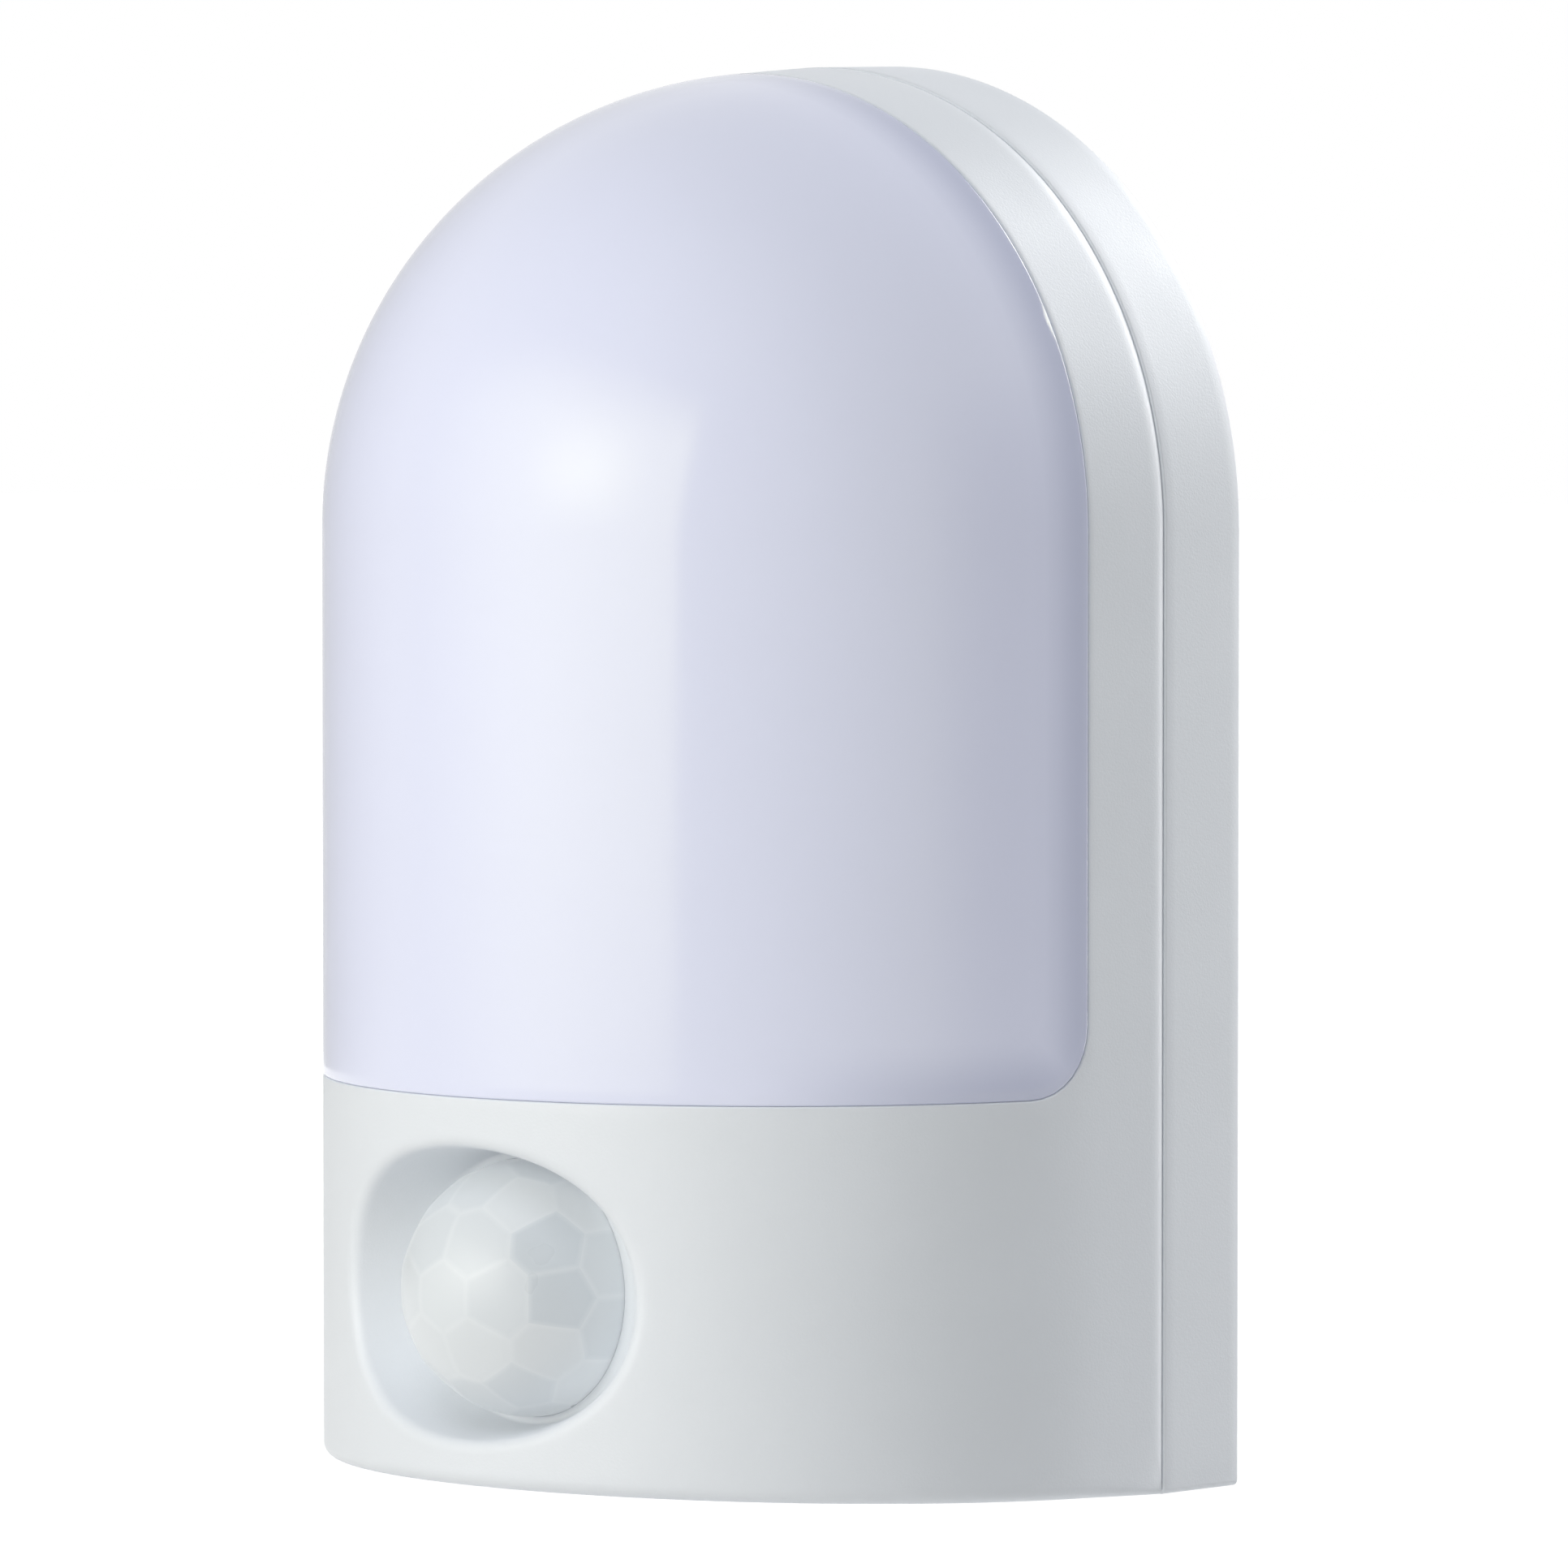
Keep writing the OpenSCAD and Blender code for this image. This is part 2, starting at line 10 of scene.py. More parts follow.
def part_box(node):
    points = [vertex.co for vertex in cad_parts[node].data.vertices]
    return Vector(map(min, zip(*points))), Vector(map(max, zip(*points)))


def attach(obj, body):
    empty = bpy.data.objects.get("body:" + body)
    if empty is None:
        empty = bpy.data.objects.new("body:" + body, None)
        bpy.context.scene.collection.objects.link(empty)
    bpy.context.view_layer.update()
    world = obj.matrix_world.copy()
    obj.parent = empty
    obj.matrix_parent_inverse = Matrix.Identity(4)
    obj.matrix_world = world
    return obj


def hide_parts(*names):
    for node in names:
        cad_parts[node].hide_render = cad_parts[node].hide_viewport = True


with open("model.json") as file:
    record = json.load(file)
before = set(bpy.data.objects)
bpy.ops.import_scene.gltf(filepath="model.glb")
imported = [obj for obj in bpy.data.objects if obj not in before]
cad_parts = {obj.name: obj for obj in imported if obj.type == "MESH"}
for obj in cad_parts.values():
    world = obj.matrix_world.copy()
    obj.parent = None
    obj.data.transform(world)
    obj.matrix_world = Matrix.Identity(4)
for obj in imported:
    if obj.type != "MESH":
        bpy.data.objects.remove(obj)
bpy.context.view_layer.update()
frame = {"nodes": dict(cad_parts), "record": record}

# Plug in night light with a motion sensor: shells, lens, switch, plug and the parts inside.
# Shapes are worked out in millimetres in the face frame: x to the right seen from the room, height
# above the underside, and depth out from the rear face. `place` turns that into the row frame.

MM = 0.001
cover_low, cover_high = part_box("rear_cover")
housing_low, housing_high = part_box("front_housing")
lens_low, lens_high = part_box("pir_lens")
base_low, base_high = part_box("plug_base")
switch_low, switch_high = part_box("switch_body")
underside = cover_low.z


def height_of(low, high):
    """Height of a node's middle above the underside."""
    return ((low.z + high.z) / 2 - underside) / MM


# Body, in millimetres
rear_half = cover_high.x / MM
seam_half = housing_high.x / MM
barrel_r = 29.4
body_depth = -housing_low.y / MM
barrel_axis = body_depth - barrel_r
cover_depth = -cover_low.y / MM
arch_height = (cover_high.z - underside) / MM - rear_half
floor_slope = 1.05 / (body_depth - cover_depth)
shell_wall = 1.5
back_wall = 2.0
foot_round = 0.9
seam_foot = 0.4
foot_run = 6.0
seam_round = 0.12
crown_run = 1.15
crown_fall = 0.16
crown_power = 2.4
cover_round = 0.15
rear_round = 0.15

# Lit panel
sill_height = 25.6
panel_start = 13.9
panel_corner = 4.5
panel_gap = 0.03
panel_round = 0.16
panel_wall = 2.0
lip_start = 1.0
lip_top = 1.6
lip_back = 2.8
lip_reach = 1.5
housing_round = 0.16
# Painted shade on the panel: width of its strip, where it starts round the side, and its share at the
# lower corners
painted_shade_width = 4.2
turned_from = 0.6
painted_corner_shade = 0.8

# Motion sensor
lens_height = height_of(lens_low, lens_high)
lens_radius = 8.2
lens_wall = 0.7
lens_depth = -lens_low.y / MM - lens_radius
flange_back = -lens_high.y / MM
flange_thick = 0.9
flange_radius = lens_high.x / MM
lens_hole = 8.24
lens_relief = 0.3
recess_base = (9.2, 8.7)
recess_mouth = (12.5, 9.25)
recess_round = 0.8
recess_floor = 1.4

# Fasteners and the places they go to, each an x and a height
light_middle = 56
case_places = [(-25, 9), (25, 9), (0, arch_height + 25)]
standoff_places = [(x, height) for x in (-16.5, 16.5) for height in (22, 62)]
ledge_places = [(x, height) for x in (-24, 24) for height in (27.6, 54)]
light_post_places = [(0, light_middle - 20.5), (0, light_middle + 20.5)]
sensor_post_places = [(x, lens_height) for x in (-15.5, 15.5)]
case_bore = 1.47
case_hole = 1.65
case_seat = 3.5
small_bore = 1.02
post_end = 12
well_radii = (3.65, 3.15, 3.1)
opening_half = (11.05, 8.05)
slot_half = (4.2, 1.5)

# Faces of the boards and the reflector plate, as depths
board_front = 8.0
plate_front = 13.2
light_board_front = 14.2
sensor_board_back = 24.4


def place(x, height, depth):
    """A point of the face frame, in the row frame and in metres."""
    return Vector((x * MM, -depth * MM, underside + height * MM))


def local(x, height, depth):
    """The same directions about the origin, for a piece that is copied to its places."""
    return Vector((x * MM, -depth * MM, height * MM))


def clamped(value):
    return min(max(value, 0.0), 1.0)


# ------------------------the body's form

# The side leaves the barrel on its tangent to the seam
seam_back = barrel_axis - cover_depth
flank_turn = (
    math.pi / 2 + math.atan(seam_back / seam_half)
    - math.acos(barrel_r / math.hypot(seam_half, seam_back))
)
flank_around = barrel_r * flank_turn
flank_depth = barrel_axis + barrel_r * math.cos(flank_turn)


def section(around):
    """Half width, depth and outward direction of the level section, at a distance round it from
    the middle of the front."""
    turn = min(around, flank_around) / barrel_r
    out = (math.sin(turn), math.cos(turn))
    if around <= flank_around:
        return barrel_r * out[0], barrel_axis + barrel_r * out[1], out
    depth = flank_depth - (around - flank_around)
    return side_half(depth) - crown_at(depth), depth, out


def crown_at(depth):
    """How far the housing's side falls in just before the seam."""
    return crown_fall * clamped(1 - (depth - cover_depth) / crown_run) ** crown_power


def side_half(depth):
    """Half width of the body at a depth."""
    if depth >= flank_depth:
        return math.sqrt(max(barrel_r**2 - (depth - barrel_axis) ** 2, 0.0))
    if depth >= cover_depth:
        return seam_half - (depth - cover_depth) / math.tan(flank_turn)
    return rear_half + depth / cover_depth * (seam_half - rear_half)


def around_at(depth):
    """Distance round the level section from the middle of the front to a depth."""
    if depth >= flank_depth:
        return barrel_r * math.acos(min((depth - barrel_axis) / barrel_r, 1.0))
    return flank_around + flank_depth - depth


def foot_at(depth):
    """Radius of the housing's lower edge, which runs out towards the seam."""
    return seam_foot + (foot_round - seam_foot) * clamped((depth - cover_depth) / foot_run)


def lift_at(depth):
    """Height at which the wrap's wall turns into its lower edge."""
    return floor_slope * max(depth - cover_depth, 0.0) + foot_at(depth)


SILL_STEPS = 40
CORNER_STEPS = 8
LEG_STEPS = 18
ARCH_STEPS = 48
ROUND_STEPS = 6


def quarter(steps=ROUND_STEPS):
    """Pairs that run from (1, 0) to (0, 1) along a quarter circle's fall and reach."""
    for i in range(steps + 1):
        angle = math.pi / 2 * i / steps
        yield 1 - math.sin(angle), 1 - math.cos(angle)


def over_arch(half, reach, depth):
    """Takes the right half of a line over the arch, and adds its mirror image."""
    for i in range(ARCH_STEPS + 1):
        angle = math.pi / 2 * i / ARCH_STEPS
        half.append((reach * math.cos(angle), arch_height + reach * math.sin(angle), depth))
    return half + [(-x, h, d) for x, h, d in half[-2:0:-1]]


def ring(start, sill, corner, inset=0.0, follow=0.0, end_around=None):
    """Closed line on the body: level at `sill` across the front, round a corner, up the side at
    depth `start` and over the arch. `inset` moves it into the wall, and `follow` is how far the
    level part follows the lower edge."""
    side_around = around_at(start) if end_around is None else end_around
    start_depth = section(side_around)[1]
    corner = max(corner, 1e-4)
    half = []

    def before_side(fall):
        """Distance round to where the line has `fall` left to the side."""
        return around_at(start_depth + fall) if end_around is None else side_around - fall

    def side_point(around, height):
        x, depth, out = section(max(around, 0.0))
        half.append((x - inset * out[0], height + follow * lift_at(depth), depth - inset * out[1]))

    sill_end = max(before_side(corner), 0.0)
    for i in range(SILL_STEPS):
        side_point(sill_end * i / SILL_STEPS, sill)
    for fall, rise in list(quarter(CORNER_STEPS))[:-1]:
        side_point(before_side(corner * fall), sill + corner * rise)
    foot = sill + corner
    top = arch_height - follow * lift_at(start_depth)
    for i in range(LEG_STEPS):
        side_point(side_around, foot + (top - foot) * i / LEG_STEPS)
    x, depth, out = section(side_around)
    return over_arch(half, x - inset * out[0], depth - inset * out[1])


# ------------------------mesh tools


class Skin:
    """Rows of points joined by faces, which become one mesh."""

    def __init__(self, where=place):
        self.mesh = bmesh.new()
        self.where = where

    def rows(self, rows, wrap=False):
        """Joins neighbouring rows, which all have the same number of points."""
        made = [[self.mesh.verts.new(self.where(*p)) for p in row] for row in rows]
        count = len(made[0])
        for low, high in zip(made, made[1:]):
            for i in range(count if wrap else count - 1):
                j = (i + 1) % count
                self.mesh.faces.new((low[i], low[j], high[j], high[i]))
        return made

    def weld(self):
        bmesh.ops.remove_doubles(self.mesh, verts=self.mesh.verts, dist=2e-6)
        bmesh.ops.dissolve_degenerate(self.mesh, edges=self.mesh.edges, dist=1e-6)
        bmesh.ops.recalc_face_normals(self.mesh, faces=self.mesh.faces)

    def piece(self, name, outside=None):
        """Welds the rows and makes the object. `outside` is a direction that the face nearest to
        that side of the mesh looks in, for a sheet that isn't closed."""
        self.weld()
        if outside is not None:
            outside = Vector(outside)
            face = max(self.mesh.faces, key=lambda f: f.calc_center_median().dot(outside))
            if face.normal.dot(outside) < 0:
                bmesh.ops.reverse_faces(self.mesh, faces=self.mesh.faces)
        return from_bmesh(name, self.mesh)


def linked(name, data):
    made = bpy.data.objects.new(name, data)
    bpy.context.scene.collection.objects.link(made)
    return made


def from_bmesh(name, mesh):
    """Object from a mesh that is done with, which is freed."""
    data = bpy.data.meshes.new(name)
    mesh.to_mesh(data)
    mesh.free()
    return linked(name, data)


def settle(thing):
    """Applies the object's modifiers and leaves a plain mesh."""
    bpy.context.view_layer.update()
    evaluated = thing.evaluated_get(bpy.context.evaluated_depsgraph_get())
    plain = bpy.data.meshes.new_from_object(evaluated)
    thing.modifiers.clear()
    thing.data = plain
    return thing


def thicken(thing, wall):
    """Gives an open sheet its wall, inwards."""
    solid = thing.modifiers.new("wall", "SOLIDIFY")
    solid.thickness = wall * MM
    solid.offset = -1
    return settle(thing)


def ease(thing, radius, angle, steps):
    """Rounds the edges that are sharper than the angle."""
    edge = thing.modifiers.new("edge", "BEVEL")
    edge.width = radius * MM
    edge.segments = steps
    edge.limit_method = "ANGLE"
    edge.angle_limit = math.radians(angle)
    edge.use_clamp_overlap = True
    return settle(thing)


def cut(thing, *cutters, operation="DIFFERENCE"):
    """Cuts the cutters out of a piece, or joins them to it, and throws them away."""
    for cutter in cutters:
        blade = thing.modifiers.new("cut", "BOOLEAN")
        blade.operation = operation
        blade.solver = "EXACT"
        blade.object = cutter
        settle(thing)
        bpy.data.objects.remove(cutter)
    return thing


def change(thing, step):
    """Puts a piece's mesh through a step."""
    mesh = bmesh.new()
    mesh.from_mesh(thing.data)
    step(mesh)
    mesh.to_mesh(thing.data)
    mesh.free()


def with_parts(thing, *parts):
    """Adds closed parts to a piece's mesh and throws the separate objects away."""
    for part in parts:
        change(thing, lambda mesh: mesh.from_mesh(part.data))
        bpy.data.objects.remove(part)
    return thing


def smooth(thing, angle=38):
    """Smooth shading, with edges sharper than the angle left crisp."""
    thing.data.shade_smooth()
    thing.data.set_sharp_from_angle(angle=math.radians(angle))
    return thing


def circle(radius, depth, steps, centre=(0, 0)):
    return [
        (centre[0] + radius * math.cos(a), centre[1] + radius * math.sin(a), depth)
        for a in (2 * math.pi * i / steps for i in range(steps))
    ]


def lathe(name, profile, centre=(0, 0), steps=64, where=place):
    """Closed solid turned about the depth axis. The profile runs from pole to pole, or back to its
    start, as pairs of radius and depth."""
    skin = Skin(where)
    skin.rows([circle(radius, depth, steps, centre) for radius, depth in profile], wrap=True)
    return skin.piece(name)


def tube(name, centre, inner, outer, start, end):
    return lathe(name, [
        (inner, start), (outer, start), (outer, end), (inner, end), (inner, start)
    ], centre, 48)


def slab(name, low, high, rounding, steps=3, where=place):
    """Box between two corners of the face frame, with rounded edges."""
    made = bmesh.new()
    bmesh.ops.create_cube(made, size=1)
    a, b = where(*low), where(*high)
    size = Vector((abs(b.x - a.x), abs(b.y - a.y), abs(b.z - a.z)))
    made.transform(Matrix.Translation((a + b) / 2) @ Matrix.Diagonal((*size, 1)))
    bmesh.ops.bevel(
        made, geom=made.edges[:], offset=rounding * MM, segments=steps, profile=0.5, affect="EDGES"
    )
    return from_bmesh(name, made)


# ------------------------node tools


def feed(tree, value, socket):
    """Links an output to a socket, or sets the socket's own value."""
    if isinstance(value, bpy.types.NodeSocket):
        tree.links.new(value, socket)
    else:
        socket.default_value = value


def add_node(tree, kind, *values, settings=(), **named):
    """New node. Its settings are pairs of a name and a value. Values go to its sockets in their
    order, or by name with _ for a space."""
    made = tree.nodes.new(kind)
    for name, value in settings:
        setattr(made, name, value)
    for socket, value in zip(made.inputs, values):
        feed(tree, value, socket)
    for name, value in named.items():
        feed(tree, value, made.inputs[name.replace("_", " ")])
    return made


# ------------------------lit panel


def make_panel():
    """Domed light panel with rounded edges and a lip behind the housing's rim."""
    rings = []
    inner_steps, outer_steps = 14, 40
    edge_in = 1.5

    def at(grow, inset):
        rings.append(ring(
            panel_start - grow, sill_height - grow, max(panel_corner + grow, 0.4), inset
        ))

    def middle(share, inset):
        """A ring between the edge and the middle of the front, which it shrinks to."""
        around = around_at(panel_start + edge_in) * (1 - share)
        low = sill_height + edge_in + 30 * share
        corner = (panel_corner - edge_in) * (1 - share) + 6 * share * (1 - share)
        rings.append(ring(0, low, corner, inset, end_around=around))

    for i in range(inner_steps, -1, -1):
        middle(i / inner_steps, panel_wall)
    at(-lip_start - 0.2, panel_wall)
    at(-lip_start, lip_back)
    at(lip_reach, lip_back)
    at(lip_reach, lip_top)
    at(-panel_gap, lip_top)
    for fall, reach in quarter():
        at(-panel_gap - panel_round * reach, panel_round * fall)
    for grow in (-0.8, -1.1):
        at(grow, 0)
    for i in range(outer_steps + 1):
        middle(i / outer_steps, 0)
    skin = Skin()
    skin.rows(rings, wrap=True)
    # Stores on each point how much painted shade the panel gets near its edge
    return smooth(with_value(skin.piece("light_panel"), "painted_edge_shade", painted_edge_shade), 50)


def painted_edge_shade(x, height, depth):
    """How far a point of the panel lies in the strip of painted shade along its side, arch and
    corner.
    """

    def soft(value):
        value = clamped(value)
        return value * value * (3 - 2 * value)

    side = soft(1 - (depth - panel_start) / painted_shade_width)
    turned = soft((abs(x) / barrel_r - turned_from) / (1 - turned_from))
    return max(side, painted_corner_shade * turned * soft(1 - (height - sill_height) / painted_shade_width))


def with_value(thing, name, rule):
    """Stores a value on every point of a piece, from its place in the face frame."""
    values = thing.data.attributes.new(name, "FLOAT", "POINT").data
    for value, vert in zip(values, thing.data.vertices):
        x, y, z = vert.co
        value.value = rule(x / MM, (z - underside) / MM, -y / MM)
    return thing


# ------------------------front housing


def recess_mouth_at(angle):
    """Where the recess wall breaks the barrel in one direction, with the wall's own direction."""
    cos, sin = math.cos(angle), math.sin(angle)
    side_depth = barrel_axis + math.sqrt(barrel_r**2 - recess_mouth[0] ** 2)
    flare = (
        (recess_mouth[0] - recess_base[0]) / (side_depth - lens_depth),
        (recess_mouth[1] - recess_base[1]) / (body_depth - lens_depth),
    )
    depth = body_depth
    for _ in range(30):
        x = (recess_base[0] + flare[0] * (depth - lens_depth)) * cos
        depth = barrel_axis + math.sqrt(barrel_r**2 - x**2)
    height = lens_height + (recess_base[1] + flare[1] * (depth - lens_depth)) * sin
    wall = Vector((flare[0] * cos, flare[1] * sin, 1)).normalized()
    return Vector((x, height, depth)), wall


def on_barrel(around, height):
    turn = around / barrel_r
    return Vector((barrel_r * math.sin(turn), height, barrel_axis + barrel_r * math.cos(turn)))


def bent(start, middle, end, steps):
    """Points of a curve that leaves one point and reaches the next, drawn towards a third."""
    for i in range(steps + 1):
        s = i / steps
        yield (1 - s) ** 2 * start + 2 * s * (1 - s) * middle + s**2 * end


RECESS_COLUMNS = 17


def make_housing():
    """Front shell: the wrap below the panel, the band round it and the recess for the sensor."""
    rings = [ring(panel_start, sill_height, panel_corner, shell_wall)]
    for fall, reach in quarter(5):
        grow = housing_round * reach
        rings.append(ring(
            panel_start - grow, sill_height - grow, panel_corner + grow, housing_round * fall
        ))
    first = len(rings) - 1
    # Even steps down the wrap, then closer ones where its side falls in
    even_share, bands = 0.82, 18
    shares = [even_share * i / bands for i in range(1, bands + 1)]
    shares += [0.86, 0.9, 0.93, 0.955, 0.978, 1.0]
    for share in shares:
        grow = housing_round + share * (panel_start - cover_depth - housing_round)
        low = (sill_height - housing_round) * (1 - share)
        corner = (panel_corner + housing_round) * (1 - share) ** 1.5
        rings.append(ring(panel_start - grow, low, corner, follow=share))
    skin = Skin()
    skin.rows(rings[: first + 1], wrap=True)
    below = rings[first:]
    gap, count = RECESS_COLUMNS, len(rings[0])
    skin.rows([[row[(k + gap) % count] for k in range(count - 2 * gap + 1)] for row in below])
    recess_skin(skin, below)
    foot_skin(skin, rings[-1])
    shell = thicken(skin.piece("front_shell", (0, -1, 0)), shell_wall - 0.1)
    roll_seam(shell)
    ease(shell, 0.2, 60, 2)
    for vert in shell.data.vertices:
        vert.co.z = max(vert.co.z, underside)
    height = height_of(switch_low, switch_high)
    depth = -(switch_low.y + switch_high.y) / 2 / MM
    tall, deep = slot_half
    cut(shell, slab(
        "slot_cutter", (-34, height - tall, depth - deep), (-27, height + tall, depth + deep), 0.45
    ))
    return smooth(with_parts(shell, *housing_parts()))


def roll_seam(shell):
    """Rolls over the shell's edge at the seam, up both sides and round the arch."""

    def outermost(vert):
        x, height = vert.co.x / MM, (vert.co.z - underside) / MM
        reach = abs(x) if height < arch_height else math.hypot(x, height - arch_height)
        at_seam = abs(-vert.co.y / MM - cover_depth) < 0.02
        return at_seam and height > seam_foot - 0.05 and reach > seam_half - 0.3

    def roll(mesh):
        rolled = [
            edge for edge in mesh.edges
            if edge.calc_face_angle(0) > 1 and all(outermost(vert) for vert in edge.verts)
        ]
        bmesh.ops.bevel(
            mesh, geom=rolled, offset=seam_round * MM, segments=5, profile=0.5, affect="EDGES"
        )

    change(shell, roll)


def housing_parts():
    """Screw posts, ledges and sensor posts inside the housing."""
    post = tube("case_post", (0, 0), case_bore, 2.8, 0, post_end)
    top_post = tube("top_post", case_places[2], case_bore, 3.6, cover_depth, post_end)
    sensor_post = tube("sensor_post", (0, 0), small_bore, 2.6, 0, 6.6)
    ledge = slab("ledge", (-3, -2, -3.8), (3.4, 2, 0), 0.15, 2, local)
    for each in (post, sensor_post):
        each.data.transform(Matrix.Translation(-place(0, 0, 0)))
    posts = copies("case_posts", post, [(x, h, cover_depth) for x, h in case_places[:2]])
    sensor_posts = copies("sensor_posts", sensor_post, [
        (x, h, sensor_board_back + 1.6) for x, h in sensor_post_places
    ])
    ledges = copies("ledges", ledge, [
        (x + math.copysign(1.0, x), h, plate_front - 1.2) for x, h in ledge_places
    ])
    return top_post, posts, sensor_posts, ledges


def recess_skin(skin, below):
    """Wrap round the recess, its rolled rim, the flared wall and the floor round the lens."""
    gap, count = RECESS_COLUMNS, len(below[0])
    top = [below[0][k % count] for k in range(gap, -gap - 1, -1)]
    left = [row[-gap % count] for row in below[1:]]
    bottom = [below[-1][k % count] for k in range(-gap + 1, gap + 1)]
    right = [row[gap] for row in below[-2:0:-1]]
    spread = 8
    lines = []
    for p in (Vector(p) for p in top + left + bottom + right):
        around = barrel_r * math.atan2(p.x, p.z - barrel_axis)
        angle = math.atan2((p.y - lens_height) / recess_mouth[1], around / recess_mouth[0])
        mouth, wall = recess_mouth_at(angle)
        mouth_around = barrel_r * math.asin(mouth.x / barrel_r)
        out = Vector((math.cos(angle) / recess_mouth[0], math.sin(angle) / recess_mouth[1]))
        out.normalize()
        start = (mouth_around + recess_round * out.x, mouth.y + recess_round * out.y)
        line = [p]
        for i in range(1, spread):
            share = (i / spread) ** 0.8
            line.append(on_barrel(
                around + (start[0] - around) * share, p.y + (start[1] - p.y) * share
            ))
        down_wall = mouth - recess_round * wall
        line += bent(on_barrel(*start), mouth, down_wall, 8)
        base, hole = (
            Vector((x * math.cos(angle), lens_height + y * math.sin(angle), lens_depth))
            for x, y in (recess_base, (lens_hole, lens_hole))
        )
        low_wall = base + wall * 0.5 * (base - hole).length
        line += [down_wall.lerp(low_wall, i / 3) for i in (1, 2)]
        line += bent(low_wall, base, base.lerp(hole, 0.5), 3)
        line += [hole, hole - Vector((0, 0, recess_floor))]
        lines.append(line)
    skin.rows([list(loop) for loop in zip(*lines)], wrap=True)


def foot_skin(skin, last):
    """Rounded lower edge of the housing and its underside."""
    side = SILL_STEPS + CORNER_STEPS
    rows = []
    for fall, reach in quarter():
        row = []
        for k in range(-side, side + 1):
            x, height, depth = last[k % len(last)]
            half, _, out = section(around_at(depth))
            foot = foot_at(depth)
            row.append((
                math.copysign(half - foot * reach * out[0], x),
                height - foot * (1 - fall),
                depth - foot * reach * out[1],
            ))
        rows.append(row)
    skin.rows(rows)
    edge = [Vector(p) for p in rows[-1]]
    across = 8
    skin.rows([
        [edge[side + k].lerp(edge[side - k], i / across) for i in range(across + 1)]
        for k in range(side + 1)
    ])


# ------------------------rear cover


def outline(depth, inset):
    """Closed front view outline of the body at a depth, with slightly eased lower corners."""
    half = side_half(depth) - inset
    corner = max(seam_foot - inset, 0.05)
    foot = inset + corner
    points = [(i / 24 * (half - corner), inset, depth) for i in range(24)]
    for fall, rise in list(quarter())[:-1]:
        points.append((half - corner * fall, inset + corner * rise, depth))
    for i in range(LEG_STEPS):
        points.append((half, foot + (arch_height - foot) * i / LEG_STEPS, depth))
    return over_arch(points, half, depth)


def make_cover():
    """Rear cover with its seam edge, rounded rear edge, screw wells and plug opening."""
    rings = [outline(back_wall, shell_wall + 0.5), outline(back_wall, shell_wall)]
    rings += [outline(cover_depth, inset) for inset in (shell_wall, cover_round + 0.3)]
    for fall, reach in quarter(4):
        rings.append(outline(cover_depth - cover_round * reach, cover_round * fall))
    side = cover_depth - cover_round - rear_round
    for i in range(1, 8):
        rings.append(outline(cover_depth - cover_round - i / 8 * side, 0))
    for fall, reach in quarter(4):
        rings.append(outline(rear_round * fall, rear_round * reach))
    rings.append(outline(0, rear_round + 0.5))
    skin = Skin()
    made = skin.rows(rings, wrap=True)
    for flat in (made[0], made[-1]):
        skin.mesh.faces.new(flat)
    shell = skin.piece("rear_shell")
    for spot in case_places:
        cut(shell, lathe("post", [
            (0, 0.3), (4, 0.3), (4, cover_depth - 0.4), (0, cover_depth - 0.4)
        ], spot), operation="UNION")
    mouth, neck, foot = well_radii
    for spot in case_places:
        cut(shell, lathe("well", [
            (0, -0.5), (mouth, -0.5), (mouth, 0), (neck, 0.35), (foot, case_seat),
            (case_hole, case_seat), (case_hole, 9), (0, 9),
        ], spot))
    height = height_of(base_low, base_high)
    wide, tall = opening_half
    cut(shell, slab("opening", (-wide, height - tall, -1), (wide, height + tall, 4), 0.3))
    # Cuts leave doubled points
    change(shell, lambda mesh: bmesh.ops.remove_doubles(mesh, verts=mesh.verts, dist=4e-6))
    standoffs = [tube("standoff", spot, small_bore, 2.8, 1.0, 6.4) for spot in standoff_places]
    return smooth(with_parts(shell, *standoffs), 30)


# ------------------------motion sensor lens


def lean_to(tilt, turn):
    """Direction that leans from straight out, in degrees, towards a turn about that."""
    lean, around = math.radians(tilt), math.radians(turn)
    return Vector((
        math.sin(lean) * math.cos(around), math.sin(lean) * math.sin(around), math.cos(lean)
    ))


# Rings of lens cells: how many, how far from the middle and by how much turned, in degrees
CELL_RINGS = ((1, 0, 0), (6, 29, 0), (12, 57, 0), (12, 84, 15), (12, 112, 0))


def cell_corners(centres):
    """Directions that three cells share, in order round each cell."""
    corners = [[] for _ in centres]
    for trio in itertools.combinations(range(len(centres)), 3):
        a, b, c = (centres[i] for i in trio)
        way = (b - a).cross(c - a)
        if way.length < 1e-9:
            continue
        way.normalize()
        if way.dot(a) < 0:
            way.negate()
        if max(way.dot(p) for p in centres) > way.dot(a) + 1e-6:
            continue
        for i in trio:
            if all((way - other).length > 1e-4 for other in corners[i]):
                corners[i].append(way)
    for centre, ways in zip(centres, corners):
        side = centre.orthogonal().normalized()
        up = centre.cross(side)
        ways.sort(key=lambda way: math.atan2(way.dot(up), way.dot(side)))
    return corners


# Two cells painted darkest, a painted reflection of the dark surroundings that these facets mirror
DARK_REFLECTION_CELLS = (7, 8)


